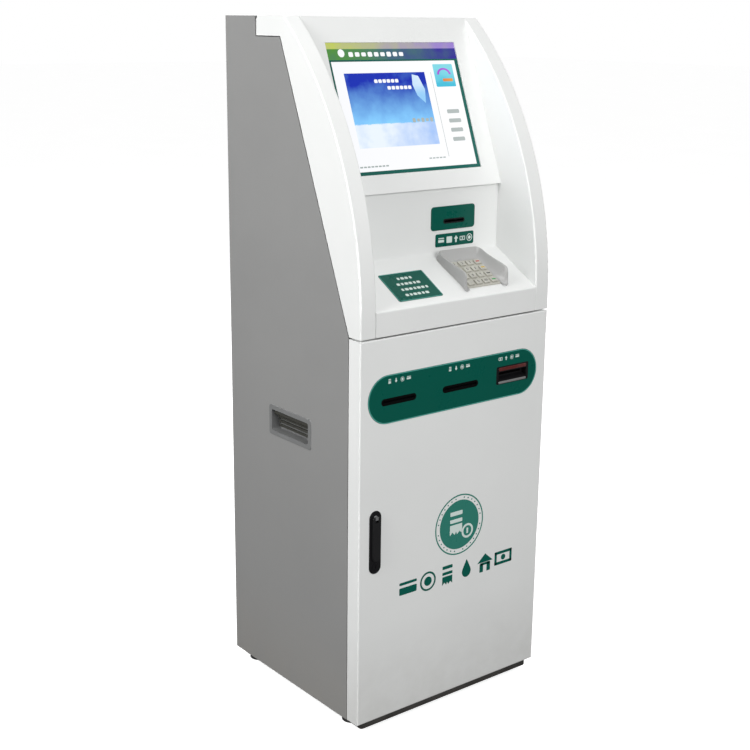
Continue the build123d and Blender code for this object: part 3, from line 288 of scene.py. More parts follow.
# ------------------------------------------------------------------ finishes
# Each row: group, colour or the name of a colour setting, scale, roughness, dust or wear, bump, specular level.
FINISHES = {
    "white_paint": ("coat", "white", 700, 0.36, 0.35, 0.10, 0.5),
    "cabinet_grey": ("coat", "grey", 1100, 0.42, 0.6, 0.22, 0.5),
    "black_paint": ("coat", (0.012, 0.012, 0.013), 1300, 0.45, 0.3, 0.25, 0.22),
    "cash_box_blue": ("coat", (0.03, 0.07, 0.2), 900, 0.3, 0.2, 0.15, 0.5),
    "green_panel": ("coat", "green", 400, 0.30, 0.0, 0.03, 0.22),
    "white_print": ("coat", (0.66, 0.76, 0.72), 300, 0.3, 0.0, 0.02, 0.2),
    "green_print": ("coat", (0.0, 0.10, 0.072), 300, 0.3, 0.0, 0.02, 0.2),
    "emblem_print": ("coat", (0.03, 0.20, 0.155), 300, 0.3, 0.0, 0.02, 0.2),
    "dark_print": ("coat", (0.012, 0.012, 0.015), 300, 0.4, 0.0, 0.02, 0.2),
    # Pale green: printed border lines on the information plate, and the painted highlight line round the outlet
    # panel.
    "pale_green_print_and_highlight": ("coat", (0.10, 0.42, 0.36), 300, 0.3, 0.0, 0.02, 0.5),
    "key_red": ("coat", (0.5, 0.02, 0.02), 500, 0.35, 0.0, 0.05, 0.5),
    "key_yellow": ("coat", (0.6, 0.42, 0.02), 500, 0.35, 0.0, 0.05, 0.5),
    "key_green": ("coat", (0.02, 0.32, 0.08), 500, 0.35, 0.0, 0.05, 0.5),
    "key_blank": ("coat", (0.05, 0.05, 0.05), 500, 0.35, 0.0, 0.05, 0.5),
    "black_plastic": ("grain", "plastic", 1500, 0.42, 0.25, 0.2, 0.2),
    "mouth_black": ("grain", (0.002, 0.002, 0.002), 1500, 0.6, 0.0, 0.2, 0.05),
    "grip_grey": ("grain", (0.175, 0.178, 0.178), 1300, 0.5, 1.0, 0.3, 0.5),
    # Grip floor: near-black ribs in the grip pocket, darker than the grip itself as painted shade in the recess.
    "grip_floor_painted_shade": ("grain", (0.05, 0.05, 0.043), 1300, 0.6, 0.3, 0.3, 0.15),
    "shield_grey": ("grain", (0.41, 0.41, 0.405), 1800, 0.30, 0.5, 0.12, 0.5),
    "machine_beige": ("grain", (0.50, 0.48, 0.42), 1100, 0.5, 1.0, 0.3, 0.5),
    "switch_red": ("grain", (0.35, 0.012, 0.01), 2500, 0.25, 1.0, 0.05, 0.5),
    "red_lens": ("grain", (0.10, 0.012, 0.010), 300, 0.15, 1.0, 0.02, 0.5),
    "black_rubber": ("grain", (0.02, 0.02, 0.02), 900, 0.7, 1.0, 0.4, 0.5),
    "foot_finish": ("grain", (0.02, 0.02, 0.02), 900, 0.6, 1.0, 0.3, 0.5),
    "paper_white": ("grain", (0.82, 0.82, 0.79), 2600, 0.75, 1.0, 0.1, 0.5),
    "roll_finish": ("grain", (0.82, 0.82, 0.79), 2600, 0.75, 1.0, 0.1, 0.5),
    "screen_glass": ("grain", (0.02, 0.03, 0.035), 400, 0.12, 1.0, 0.0, 0.5),
    "zinc_sheet": ("brushed", (0.56, 0.57, 0.58), 40, 0.38, None, 0.15, 0.5),
    "brushed_steel": ("brushed", "steel", 90, 0.40, None, 0.2, 0.5),
}

EXTRAS = {
    "zinc_sheet": {"Metallic": 1.0},
    "brushed_steel": {"Metallic": 0.35},
    "screen_glass": {"Coat_Weight": 0.5},
    "red_lens": {"Coat_Weight": 0.6},
}

MATERIALS = {}


def new_material(name):
    """A material with a Principled BSDF, its tree and that shader."""
    material = bpy.data.materials.new(name)
    material.use_nodes = True
    MATERIALS[name] = material
    tree = material.node_tree
    return material, tree, tree.nodes["Principled BSDF"]


def skin(name):
    """The named finish, made once. Its colour, roughness and bump come from a shared group."""
    if name in MATERIALS:
        return MATERIALS[name]
    group, colour, scale, roughness, wear, bump, specular = FINISHES[name]
    if isinstance(colour, str):
        colour = getattr(bpy.context.scene.kiosk_colours, colour)
    material, tree, shader = new_material(name)
    effect = tree.nodes.new("ShaderNodeGroup")
    effect.node_tree = shared_group(group)
    for socket, value in zip(("Colour", *SOCKETS[group]), ((*colour, 1), scale, roughness, wear)):
        effect.inputs[socket].default_value = value
    made = effect.outputs
    relief = add_node(tree, "Bump", Strength=bump, Distance=0.2 * MM, Height=made["Height"])
    feed(tree, shader, Base_Color=made["Colour"], Roughness=made["Roughness"], Normal=relief.outputs["Normal"],
         Coat_Roughness=0.12, Specular_IOR_Level=specular, **EXTRAS.get(name, {}))
    return material


def tint(tree, factor, colour, mode="MIX"):
    """The base colour mixed with another colour."""
    shader = tree.nodes["Principled BSDF"]
    plain = shader.inputs["Base Color"].links[0].from_socket
    feed(tree, shader, Base_Color=blend_colours(tree, factor, plain, colour, mode))


def foot_finish():
    """Rubber pads with zinc studs and nuts above them."""
    material = skin("foot_finish")
    tree = material.node_tree
    axes = coordinates(tree)[1]
    stud = remap(tree, axes["Z"], 9.8 * MM, 10.2 * MM, 0.0, 1.0)
    tint(tree, stud, (0.52, 0.52, 0.50, 1))
    feed(tree, tree.nodes["Principled BSDF"], Metallic=stud)
    return material


def roll_finish():
    """Paper wound in fine rings about the roll's own axis."""
    material = skin("roll_finish")
    tree = material.node_tree
    low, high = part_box("paper_roll")
    moved = add_node(tree, "Mapping", Vector=coordinates(tree)[0], Location=-(low + high) / 2)
    rings = add_node(tree, "TexWave", Vector=moved.outputs["Vector"], Scale=160, Distortion=0.4)
    rings.wave_type = "RINGS"
    rings.rings_direction = "X"
    tint(tree, remap(tree, rings.outputs["Fac"], 0.0, 1.0, 0.0, 0.30), (0.55, 0.54, 0.50, 1), "MULTIPLY")
    return material


OWN_FINISHES = {"levelling_feet": foot_finish, "paper_roll": roll_finish}


def glow(name, low, high, strength, axis, span, waves=0.0):
    """A lit screen colour that runs from low to high along an object axis, with faint cloudy bands."""
    tree, shader = new_material(name)[1:]
    where, axes = coordinates(tree)
    shade = remap(tree, axes[axis], *span, 0.0, 1.0)
    clouds = remap(tree, noise(tree, where, 26, 4), 0.35, 0.65, -waves, waves)
    shifted = maths(tree, "ADD", shade, clouds)
    held = maths(tree, "MINIMUM", maths(tree, "MAXIMUM", shifted, 0.0), 1.0)
    feed(tree, shader, Emission_Color=blend_colours(tree, held, (*low, 1), (*high, 1)),
         Base_Color=(0.01, 0.01, 0.012, 1), Emission_Strength=strength, Roughness=0.22, Specular_IOR_Level=0.25)


# ------------------------------------------------------------------ modelling helpers
def sizes():
    """The scene's size settings."""
    return bpy.context.scene.kiosk_sizes


def deselect():
    """Nothing selected, in object mode."""
    if bpy.context.object is not None and bpy.context.object.mode != "OBJECT":
        bpy.ops.object.mode_set(mode="OBJECT")
    bpy.ops.object.select_all(action="DESELECT")


def select_only(*objects):
    """Only these objects selected, the first one active."""
    deselect()
    for obj in objects:
        obj.select_set(True)
    bpy.context.view_layer.objects.active = objects[0]


def edit(obj, kind, test=lambda element: True):
    """Edit mode on obj, with the edges or faces selected that pass the test."""
    select_only(obj)
    bpy.ops.object.mode_set(mode="EDIT")
    bpy.ops.mesh.select_mode(type=kind)
    bpy.ops.mesh.select_all(action="DESELECT")
    shape = bmesh.from_edit_mesh(obj.data)
    for element in shape.edges if kind == "EDGE" else shape.faces:
        element.select_set(test(element))
    bmesh.update_edit_mesh(obj.data)


def leave_edit():
    """Back to object mode."""
    bpy.ops.object.mode_set(mode="OBJECT")


def apply_place(obj, matrix=None):
    """obj put at a place, which is then written into its mesh."""
    select_only(obj)
    if matrix is not None:
        obj.matrix_world = matrix @ obj.matrix_world
    bpy.ops.object.transform_apply(location=True, rotation=True, scale=True)


def finish_piece(obj, name, body, slot, finish=None, smooth=35):
    """Names a piece, gives it a finish (its slot's own, if none is named) and lets it ride on its body."""
    obj.name = name
    obj.data.name = name
    obj.data.materials.clear()
    obj.data.materials.append(skin(finish or slot))
    select_only(obj)
    bpy.ops.object.shade_smooth_by_angle(angle=math.radians(smooth))
    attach(obj, body)
    deselect()
    return obj


def cube(size, centre):
    """A block primitive of a given size, with its scale applied."""
    deselect()
    bpy.ops.mesh.primitive_cube_add(size=1, location=centre)
    obj = bpy.context.object
    obj.scale = size
    apply_place(obj)
    return obj


def rod(radius, length, centre, sides=32):
    """A cylinder primitive along Z, with its place applied."""
    deselect()
    bpy.ops.mesh.primitive_cylinder_add(vertices=sides, radius=radius, depth=length, location=centre)
    obj = bpy.context.object
    apply_place(obj)
    return obj


def is_upright(edge):
    """An edge along Z."""
    span = edge.verts[1].co - edge.verts[0].co
    return abs(span.z) > 0.99 * span.length


def rim_at(level):
    """A test for the edges that lie at a height."""
    return lambda edge: all(abs(vertex.co.z - level) < CLOSE for vertex in edge.verts)


def round_edges(obj, test, width, segments):
    """The edges that pass the test, bevelled."""
    edit(obj, "EDGE", test)
    bpy.ops.mesh.bevel(offset=width, segments=segments, affect="EDGES")
    leave_edit()


def hollow(obj, wall):
    """obj with its top and bottom inset and cut through, so that a wall is left."""
    edit(obj, "FACE", lambda face: abs(face.normal.z) > 0.9)
    bpy.ops.mesh.inset(thickness=wall, depth=0)
    bpy.ops.mesh.bridge_edge_loops()
    leave_edit()
    return obj


def sink(obj, test, wall, depth):
    """The faces that pass the test inset by a wall and moved along Z by a depth."""
    edit(obj, "FACE", test)
    bpy.ops.mesh.inset(thickness=wall, depth=0)
    bpy.ops.mesh.extrude_region_move(TRANSFORM_OT_translate={"value": (0, 0, depth)})
    leave_edit()


def face_out(obj):
    """Outward normals on a closed mesh."""
    edit(obj, "FACE")
    bpy.ops.mesh.normals_make_consistent(inside=False)
    leave_edit()
    return obj


def round_plate(width, height, thick, radius, centre=(0, 0), lift=0.0, edge=0.0):
    """A plate in the XY plane with rounded corners, standing on Z = lift, its upper rim bevelled by edge."""
    obj = cube((width, height, thick), (*centre, lift + thick / 2))
    if radius > 0:
        round_edges(obj, is_upright, radius, 7)
    if edge > 0:
        round_edges(obj, rim_at(lift + thick), edge, 2)
    return obj


def block(size, base, offset, soft=1.5):
    """A block with all its edges rounded. Its size and its centre's offset from base are in millimetres."""
    obj = cube([side * MM for side in size], [start + shift * MM for start, shift in zip(base, offset)])
    round_edges(obj, lambda edge: True, min(soft, *(side / 3 for side in size)) * MM, 3)
    return obj


def join(objects):
    """Several objects as one mesh."""
    select_only(*objects)
    if len(objects) > 1:
        bpy.ops.object.join()
    joined = bpy.context.object
    deselect()
    return joined


def copies(source, spots):
    """Copies of source with their own meshes, each at a place (x, y) and turned about Z; source is removed."""
    made = []
    for x, y, turn in spots:
        copy = source.copy()
        copy.data = source.data.copy()
        bpy.context.collection.objects.link(copy)
        copy.location = (x, y, 0)
        copy.rotation_euler = (0, 0, turn)
        made.append(copy)
    bpy.data.objects.remove(source, do_unlink=True)
    select_only(*made)
    bpy.ops.object.transform_apply(location=True, rotation=True, scale=True)
    return made


def place_matrix(along, up, normal, origin):
    """A place matrix from its three axes and its origin."""
    matrix = Matrix((along, up, normal)).transposed().to_4x4()
    matrix.translation = origin
    return matrix


def level_axis(normal):
    """The level direction that runs to the right for someone who looks straight at a face."""
    if abs(normal.x) > 0.5:
        return Vector((0, math.copysign(1, normal.x), 0))
    return -RIGHT if normal.y > 0.5 else RIGHT.copy()


def frame_at(origin, normal):
    """A place matrix at a point: Z along the normal, X level, Y up the face."""
    normal = Vector(normal).normalized()
    along = level_axis(normal)
    return place_matrix(along, normal.cross(along).normalized(), normal, origin)


def flat_frame(node, toward):
    """A place matrix in the middle of a node's largest flat face that looks along toward."""
    mesh = NODES[node].data
    toward = Vector(toward).normalized()
    areas = {}
    for face in mesh.polygons:
        if face.normal.dot(toward) > 0.7:
            key = (*(round(part, 2) for part in face.normal), round(face.center.dot(face.normal), 4))
            areas.setdefault(key, []).append(face)
    best = max(areas.values(), key=lambda faces: sum(f.area for f in faces))
    normal = best[0].normal.normalized()
    along = level_axis(normal)
    up = normal.cross(along).normalized()
    points = [mesh.vertices[i].co for f in best for i in f.vertices]
    origin = normal * points[0].dot(normal)
    for axis in (along, up):
        spread = [point.dot(axis) for point in points]
        origin = origin + axis * ((min(spread) + max(spread)) / 2)
    return place_matrix(along, up, normal, origin)


def lay(parts, place, name, body, slot, finish=None):
    """Parts drawn in the XY plane, joined and laid on a face as one piece."""
    obj = join(parts)
    apply_place(obj, place)
    return finish_piece(face_out(obj), name, body, slot, finish)


def fitting(parts, name, body, slot, finish=None):
    """Parts joined where they stand into one piece."""
    return finish_piece(face_out(join(parts)), name, body, slot, finish)


# ------------------------------------------------------------------ stage
class KIOSK_OT_stage(bpy.types.Operator):
    """Lays the pale floor, hangs the studio lights and sets up the camera"""

    bl_idname = "kiosk.stage"
    bl_label = "Stage"

    def execute(self, context):
        scene = context.scene
        deselect()
        bpy.ops.mesh.primitive_plane_add(size=80, location=(0, 0, 0))
        floor = context.object
        floor.name = "floor"
        floor.data.materials.append(self.floor_finish())
        scene.world = self.studio_air()
        scene.view_settings.view_transform = "Standard"
        self.softbox("light_left", (-3.0, -0.15, 2.3), (0, 0, 1.1), 1.8, 94)
        self.softbox("light_front", (-0.5, -4.2, 2.5), (0, 0, 0.7), 2.0, 112)
        self.softbox("light_top", (0.3, -0.3, 4.0), (0, 0, 0.9), 2.0, 18)
        self.softbox("light_rear", (2.6, 3.2, 2.8), (0, 0, 0.9), 2.4, 80)
        self.camera(context)
        return {"FINISHED"}

    def floor_finish(self):
        """A pale floor that is lit a little from below where it is looked at directly."""
        material, tree, shader = new_material("floor_pale")
        seen = add_node(tree, "LightPath").outputs["Is Camera Ray"]
        clouds = remap(tree, noise(tree, coordinates(tree)[0], 1.4, 3), 0.3, 0.7, 0.0, 1.0)
        pale = blend_colours(tree, clouds, (0.90, 0.90, 0.90, 1), (0.93, 0.93, 0.93, 1))
        feed(tree, shader, Base_Color=blend_colours(tree, seen, (0.13, 0.13, 0.13, 1), pale),
             Emission_Color=blend_colours(tree, seen, (0, 0, 0, 1), (1, 1, 1, 1)), Emission_Strength=0.67,
             Roughness=0.9, Specular_IOR_Level=0.1)
        return material

    def studio_air(self):
        """A white surround that lights the kiosk more softly than it looks."""
        world = bpy.data.worlds.new("studio")
        world.use_nodes = True
        tree = world.node_tree
        seen = add_node(tree, "LightPath").outputs["Is Camera Ray"]
        strength = remap(tree, seen, 0.0, 1.0, 0.35, 1.0)
        feed(tree, tree.nodes["Background"], Strength=strength, Color=(1, 1, 1, 1))
        return world

    def softbox(self, name, place, target, size, power):
        """A square area light that looks at a target."""
        bpy.ops.object.light_add(type="AREA", location=place)
        lamp = bpy.context.object
        lamp.name = name
        lamp.data.size = size
        lamp.data.energy = power
        away = Vector(place) - Vector(target)
        lamp.rotation_euler = away.to_track_quat("Z", "Y").to_euler()

    def camera(self, context):
        """The camera, from its pan, tilt and roll."""
        look = context.scene.kiosk_camera
        ahead = Vector((
            math.sin(look.pan) * math.cos(look.tilt),
            math.cos(look.pan) * math.cos(look.tilt),
            -math.sin(look.tilt),
        ))
        right = Vector((math.cos(look.pan), -math.sin(look.pan), 0))
        over = right.cross(ahead)
        turned_right = right * math.cos(look.roll) + over * math.sin(look.roll)
        turned_up = over * math.cos(look.roll) - right * math.sin(look.roll)
        bpy.ops.object.camera_add(location=look.place)
        camera = context.object
        camera.name = "camera"
        camera.rotation_euler = place_matrix(turned_right, turned_up, -ahead, look.place).to_euler()
        camera.data.lens = look.lens
        camera.data.sensor_width = 36
        context.scene.camera = camera


class KIOSK_OT_cad_finishes(bpy.types.Operator):
    """Gives every carried-over node the finish of its material slot"""

    bl_idname = "kiosk.cad_finishes"
    bl_label = "Node finishes"

    def execute(self, context):
        for row in frame["record"]["subparts"]:
            mesh = NODES[row["node"]].data
            mesh.materials.clear()
            own = OWN_FINISHES.get(row["node"])
            mesh.materials.append(own() if own else skin(row["material_slot"]))
        return {"FINISHED"}


# ------------------------------------------------------------------ small shapes for marks
def bar(width, height, x, y, lift=0.0, thick=None, radius=None):
    """A thin rounded bar in the XY plane."""
    corner = min(width, height) * 0.28 if radius is None else radius
    return round_plate(width, height, thick or sizes().print_thick, corner, (x, y), lift)


def disc(radius, x, y, lift=0.0, thick=None, sides=40):
    """A thin disc in the XY plane."""
    thick = thick or sizes().print_thick
    return rod(radius, thick, (x, y, lift + thick / 2), sides)


def ring(radius, width, x, y, lift=0.0, sides=64):
    """A flat ring in the XY plane."""
    return hollow(disc(radius, x, y, lift, sides=sides), width)


def shaped_disc(points, thick=None, lift=0.0):
    """A thin plate with the given corners, in order: a disc whose rim vertices are set on them."""
    obj = disc(1.0, 0, 0, lift, thick, len(points))
    step = 2 * math.pi / len(points)
    for vertex in obj.data.vertices:
        turn = math.atan2(vertex.co.x, vertex.co.y)
        vertex.co.x, vertex.co.y = points[int(round(turn / step)) % len(points)]
    return face_out(obj)


def arrow(way):
    """An arrow with a straight shaft, up or down."""
    return [("plate", (0, way * 0.44), (0.34, way * 0.02), (-0.34, way * 0.02)),
            ("bar", 0.26, 0.44, 0, -way * 0.20, 0.02)]


def drop_corners(count=28):
    """The outline of a water drop."""
    corners = []
    for index in range(count):
        turn = 2 * math.pi * index / count
        pull = max(0.0, math.cos(turn)) ** 3
        corners.append((0.27 * math.sin(turn) * (1 - 0.55 * pull),
                        -0.12 + 0.28 * math.cos(turn) + 0.30 * pull))
    return corners


# Service signs in shares of their size. A bar is width, height, x, y and corner, a ring is radius and width,
# a disc is radius and number of sides, and a plate is its corners.
SIGNS = {
    "card": [("bar", 1, 0.13, 0, 0.26, 0.05), ("bar", 1, 0.34, 0, -0.10, 0.05)],
    "coin": [("ring", 0.46, 0.09), ("disc", 0.22, 40)],
    "slip": [("bar", 0.60, 0.16, 0, 0.38, 0.03), ("bar", 0.60, 0.14, 0, 0.09, 0.02),
             ("plate", (-0.30, -0.06), (0.30, -0.06), (0.30, -0.46), (0.18, -0.34), (0.06, -0.46), (0, -0.34),
              (-0.06, -0.46), (-0.18, -0.34), (-0.30, -0.46))],
    "drop": [("plate", *drop_corners())],
    "house": [("plate", (0, 0.46), (0.48, 0.04), (-0.48, 0.04)), ("bar", 0.22, 0.42, -0.22, -0.22, 0.02),
              ("bar", 0.22, 0.42, 0.22, -0.22, 0.02), ("bar", 0.60, 0.12, 0, -0.04, 0.02)],
    "up": arrow(1),
    "down": arrow(-1),
    "note": [("bar", 1.1, 0.14, 0, 0.26, 0.03), ("bar", 1.1, 0.14, 0, -0.26, 0.03),
             ("bar", 0.14, 0.60, -0.48, 0, 0.03), ("bar", 0.14, 0.60, 0.48, 0, 0.03), ("disc", 0.14, 24)],
}


def sign(name, size, x, y, lift=0.0):
    """The parts of a service sign at a size and a place."""
    parts = []
    for kind, *values in SIGNS[name]:
        if kind == "plate":
            corners = [(x + size * across, y + size * up) for across, up in values]
            parts.append(shaped_disc(corners, lift=lift))
        elif kind == "bar":
            wide, high, across, up, corner = (size * value for value in values)
            parts.append(bar(wide, high, x + across, y + up, lift, radius=corner))
        elif kind == "ring":
            parts.append(ring(size * values[0], size * values[1], x, y, lift))
        else:
            parts.append(disc(size * values[0], x, y, lift, sides=values[1]))
    return parts


# ------------------------------------------------------------------ screen page
PAGE_WIDE, PAGE_HIGH = 376.3, 301.1
FILM = 0.15 * MM


def film(width, height, x, y, layer, corner=None):
    """A film bar on a layer of the screen page, in millimetres."""
    corner = corner if corner is None else corner * MM
    return bar(width * MM, height * MM, x * MM, y * MM, layer * FILM, FILM, corner)


def film_row(count, start, step, y, width, heights):
    """A row of film blocks on the top layer, in millimetres; their heights repeat."""
    return [film(width, heights[index % len(heights)], start + step * index, y, 3)
            for index in range(count)]


def film_plate(corners):
    """A film plate on the top layer, with its corners in millimetres."""
    return shaped_disc([(x * MM, y * MM) for x, y in corners], FILM, 3 * FILM)


class KIOSK_OT_screen_page(bpy.types.Operator):
    """Lays the lit service page on the screen glass: title bar, border, picture, tile, buttons and lines"""

    bl_idname = "kiosk.screen_page"
    bl_label = "Screen page"

    def execute(self, context):
        self.light_up()
        top = PAGE_HIGH / 2
        place = flat_frame("display_glass", SCREEN_OUT)
        for name, finish, parts in (
            ("page_border", "page_border", [film(PAGE_WIDE, PAGE_HIGH, 0, 0, 0, 0)]),
            ("page_title", "page_title", [film(PAGE_WIDE, 30, 0, top - 24, 1, 0)]),
            ("page_title_light", "page_title_light", [film(PAGE_WIDE, 14, 0, top - 7, 2, 0)]),
            ("page_sheet", "page_white", [film(PAGE_WIDE - 17, PAGE_HIGH - 52, -1, -17, 1, 0)]),
            ("page_picture", "page_picture", [film(232, 118, -37, 22, 2, 0)]),
            ("page_ground", "page_ground", [film(232, 54, -37, -62, 2, 0)]),
            ("page_beam", "page_beam", [
                film_plate([(40, 76), (58, 72), (70, 40), (64, 8), (44, 26), (36, 52)]),
            ]),
            ("page_tile", "page_tile", [film(60, 54, 138, 72, 2, 3)]),
            ("page_buttons", "page_button", [film(37, 9.5, 141, -14 - 22 * row, 2) for row in range(4)]),
            ("page_arc", "page_violet", [film_plate(self.arc(138, 74, 21, 6))]),
            ("page_hill", "page_warm", [film(30, 7, 146, 61, 3)]),
            ("page_words", "page_white", [
                disc(9 * MM, -148 * MM, 127 * MM, 3 * FILM, FILM),
                *film_row(9, -122, 18, 124, 12.5, (11, 10, 9)),
                *film_row(6, -68, 12, 62, 9.5, (8,)),
                *film_row(6, -34, 12, 46, 9.5, (8,)),
            ]),
            ("page_lines", "page_button", [
                *film_row(8, -160, 10.4, -131, 8, (3.4,)),
                *film_row(5, 42, 10.4, -121, 8, (3,)),
                *film_row(5, 18, 13, -31, 9, (10, 7)),
                film(1.2, 200, 98, -20, 3),
            ]),
        ):
            lay(parts, place, name, "hood", "screen_glass", finish)
        return {"FINISHED"}

    def light_up(self):
        """The lit colours of the page; spans are object coordinates along an axis."""
        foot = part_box("display_glass")[0].z
        page = (-PAGE_WIDE / 2 * MM, PAGE_WIDE / 2 * MM)
        tile = (0.12, 0.18)
        glow("page_border", (0.0, 0.095, 0.07), (0.0, 0.13, 0.10), 0.9, "X", page)
        glow("page_title", (0.08, 0.28, 0.03), (0.03, 0.02, 0.30), 1.0, "X", page, 0.12)
        glow("page_title_light", (0.58, 0.66, 0.12), (0.36, 0.24, 0.70), 0.9, "X", page, 0.10)
        glow("page_white", (0.90, 0.91, 0.93), (0.95, 0.95, 0.96), 1.05, "X", page)
        picture = (foot + 0.105, foot + 0.205)
        glow("page_picture", (0.24, 0.62, 1.0), (0.0, 0.02, 0.42), 1.05, "Z", picture, 0.10)
        glow("page_ground", (0.84, 0.92, 1.0), (0.36, 0.55, 0.95), 1.0, "X", (-0.10, 0.12), 0.2)
        glow("page_beam", (0.30, 0.62, 0.95), (0.85, 0.93, 1.0), 1.0, "Z", (foot + 0.16, foot + 0.24), 0.15)
        glow("page_tile", (0.06, 0.55, 0.75), (0.25, 0.75, 0.85), 0.95, "Z", (foot + 0.19, foot + 0.23), 0.2)
        glow("page_button", (0.42, 0.50, 0.48), (0.60, 0.66, 0.65), 0.8, "X", page)
        glow("page_warm", (0.85, 0.20, 0.05), (0.95, 0.50, 0.10), 0.9, "X", tile)
        glow("page_violet", (0.45, 0.10, 0.75), (0.55, 0.20, 0.85), 0.9, "X", tile)

    def arc(self, x, y, radius, width, steps=14):
        """Corners of an upright half ring."""
        turns = [math.pi * index / steps for index in range(steps + 1)]
        outer, inner = ([(x - reach * math.cos(turn), y + reach * 0.75 * math.sin(turn)) for turn in turns]
                        for reach in (radius, radius - width))
        return outer + inner[::-1]


# ------------------------------------------------------------------ marks on the door and the plates
class KIOSK_OT_door_marks(bpy.types.Operator):
    """Puts a round mark and a row of service signs on the door"""

    bl_idname = "kiosk.door_marks"
    bl_label = "Door marks"

    def execute(self, context):
        size = sizes().emblem_size
        x, z = 18 * MM, sizes().emblem_height
        place = frame_at((0, DOOR_FRONT, 0), FRONT)
        parts = [ring(size * 0.5, size * 0.022, x, z), disc(size * 0.405, x, z, sides=96)]
        dots, gap, reach = 32, 8, size * 0.442
        for index in range(dots):
            turn = 2 * math.pi * index / dots
            if index % gap:
                dot_x, dot_z = x + reach * math.sin(turn), z + reach * math.cos(turn)
                parts.append(disc(size * 0.012, dot_x, dot_z, sides=16))
        lay(parts, place, "door_emblem", "door", "green_panel", "emblem_print")
        lift = sizes().print_thick
        coin_x, coin_z = x + size * 0.17, z - size * 0.14
        light = [*sign("slip", size * 0.42, x - size * 0.07, z + size * 0.04, lift),
                 ring(size * 0.12, size * 0.035, coin_x, coin_z, lift),
                 bar(size * 0.035, size * 0.09, coin_x, coin_z, lift)]
        lay(light, place, "door_emblem_slip", "door", "white_paint", "white_print")
        wide, low_x, high_x = 52 * MM, -162 * MM, 191 * MM
        names = ("card", "coin", "slip", "drop", "house", "note")
        parts = []
        for index, name in enumerate(names):
            at = low_x + wide / 2 + (high_x - low_x - wide) * index / (len(names) - 1)
            parts += sign(name, wide, at, sizes().sign_height)
        lay(parts, place, "door_signs", "door", "green_panel", "green_print")
        return {"FINISHED"}


# The outlet panel and its mouths in millimetres: a mouth is its middle and its width.
PANEL_X, PANEL_Z, PANEL_WIDE, PANEL_HIGH = -4, 797, 509, 111
SLIP_MOUTHS = ((-172, 99), (9, 108))
MOUTH_Z = 791.5
BILL_X = 172


class KIOSK_OT_outlet_marks(bpy.types.Operator):
    """Puts light signs above the outlets, dark rims round the mouths and a pale rim line round the green panel,
    a painted highlight along the panel's rounded edge
    """

    bl_idname = "kiosk.outlet_marks"
    bl_label = "Outlet marks"

    def execute(self, context):
        place = frame_at((0, DOOR_FRONT, 0), FRONT)
        size, step, level = 11.5 * MM, 18, 837 * MM
        parts = []
        for middle, row in ((-172, ("slip", "down", "coin", "card")), (3, ("slip", "down", "coin", "card")),
                            (159, ("note", "up", "coin", "card"))):
            for index, name in enumerate(row):
                parts += sign(name, size, (middle + (index - 1.5) * step) * MM, level)
        lay(parts, place, "outlet_signs", "door", "white_paint", "white_print")
        half, rim = 8, 5
        rims = [self.obround(middle, MOUTH_Z, wide / 2 - half, half, rim) for middle, wide in SLIP_MOUTHS]
        lay(rims, place, "mouth_rims", "door", "black_plastic", "mouth_black")
        # The pale line round the green panel is a painted highlight along the panel's rounded edge.
        inset, line = 1, 1.6
        outline = self.obround(PANEL_X, PANEL_Z, (PANEL_WIDE - PANEL_HIGH) / 2, PANEL_HIGH / 2 - inset, line)
        lay([outline], place, "outlet_rim_highlight", "door", "green_panel", "pale_green_print_and_highlight")
        return {"FINISHED"}

    def obround(self, x, z, run, radius, width):
        """A flat obround line, in millimetres."""
        obj = ring(radius * MM, width * MM, x * MM, z * MM, sides=96)
        for vertex in obj.data.vertices:
            vertex.co.x += math.copysign(run * MM, vertex.co.x - x * MM)
        return obj


class KIOSK_OT_plate_marks(bpy.types.Operator):
    """Prints the card strip and the information plate"""

    bl_idname = "kiosk.plate_marks"
    bl_label = "Plate marks"

    def execute(self, context):
        size = 19 * MM
        parts = [*sign("card", size * 0.95, -42 * MM, 0), bar(17 * MM, 15 * MM, -17 * MM, 0, radius=2 * MM),
                 *sign("up", size, 4 * MM, 0), *sign("note", size * 0.8, 24 * MM, 0),
                 *sign("coin", size, 46 * MM, 0)]
        lay(parts, flat_frame("label_plates", FRONT), "strip_signs", "hood", "white_paint", "white_print")
        plate = flat_frame("label_plates", DECK_UP)
        widths, high, step = (8.5, 6.5, 9.5), 7.5, 11.5
        parts = []
        for level, start, count in ((26, -18, 4), (8, -30, 6), (-10, -30, 7), (-28, -30, 6)):
            for index in range(count):
                wide = widths[(index + count) % 3]
                parts.append(bar(wide * MM, high * MM, (start + step * index) * MM, level * MM))
        lay(parts, plate, "info_lines", "hood", "white_paint", "white_print")
        wide, high, line, inset, gap = 126 * MM, 91 * MM, 1.2 * MM, 1.4 * MM, 8 * MM
        rim = []
        for side in (-1, 1):
            rim.append(bar(wide - gap, line, 0, side * (high / 2 - inset)))
            rim.append(bar(line, high - gap, side * (wide / 2 - inset), 0))
        lay(rim, plate, "info_rim", "hood", "green_panel", "pale_green_print_and_highlight")
        return {"FINISHED"}


# ------------------------------------------------------------------ keypad
KEY_FACES = ("1", "2", "3", "red", "4", "5", "6", "yellow", "7", "8", "9", "blank", ".", "0", "00", "green")


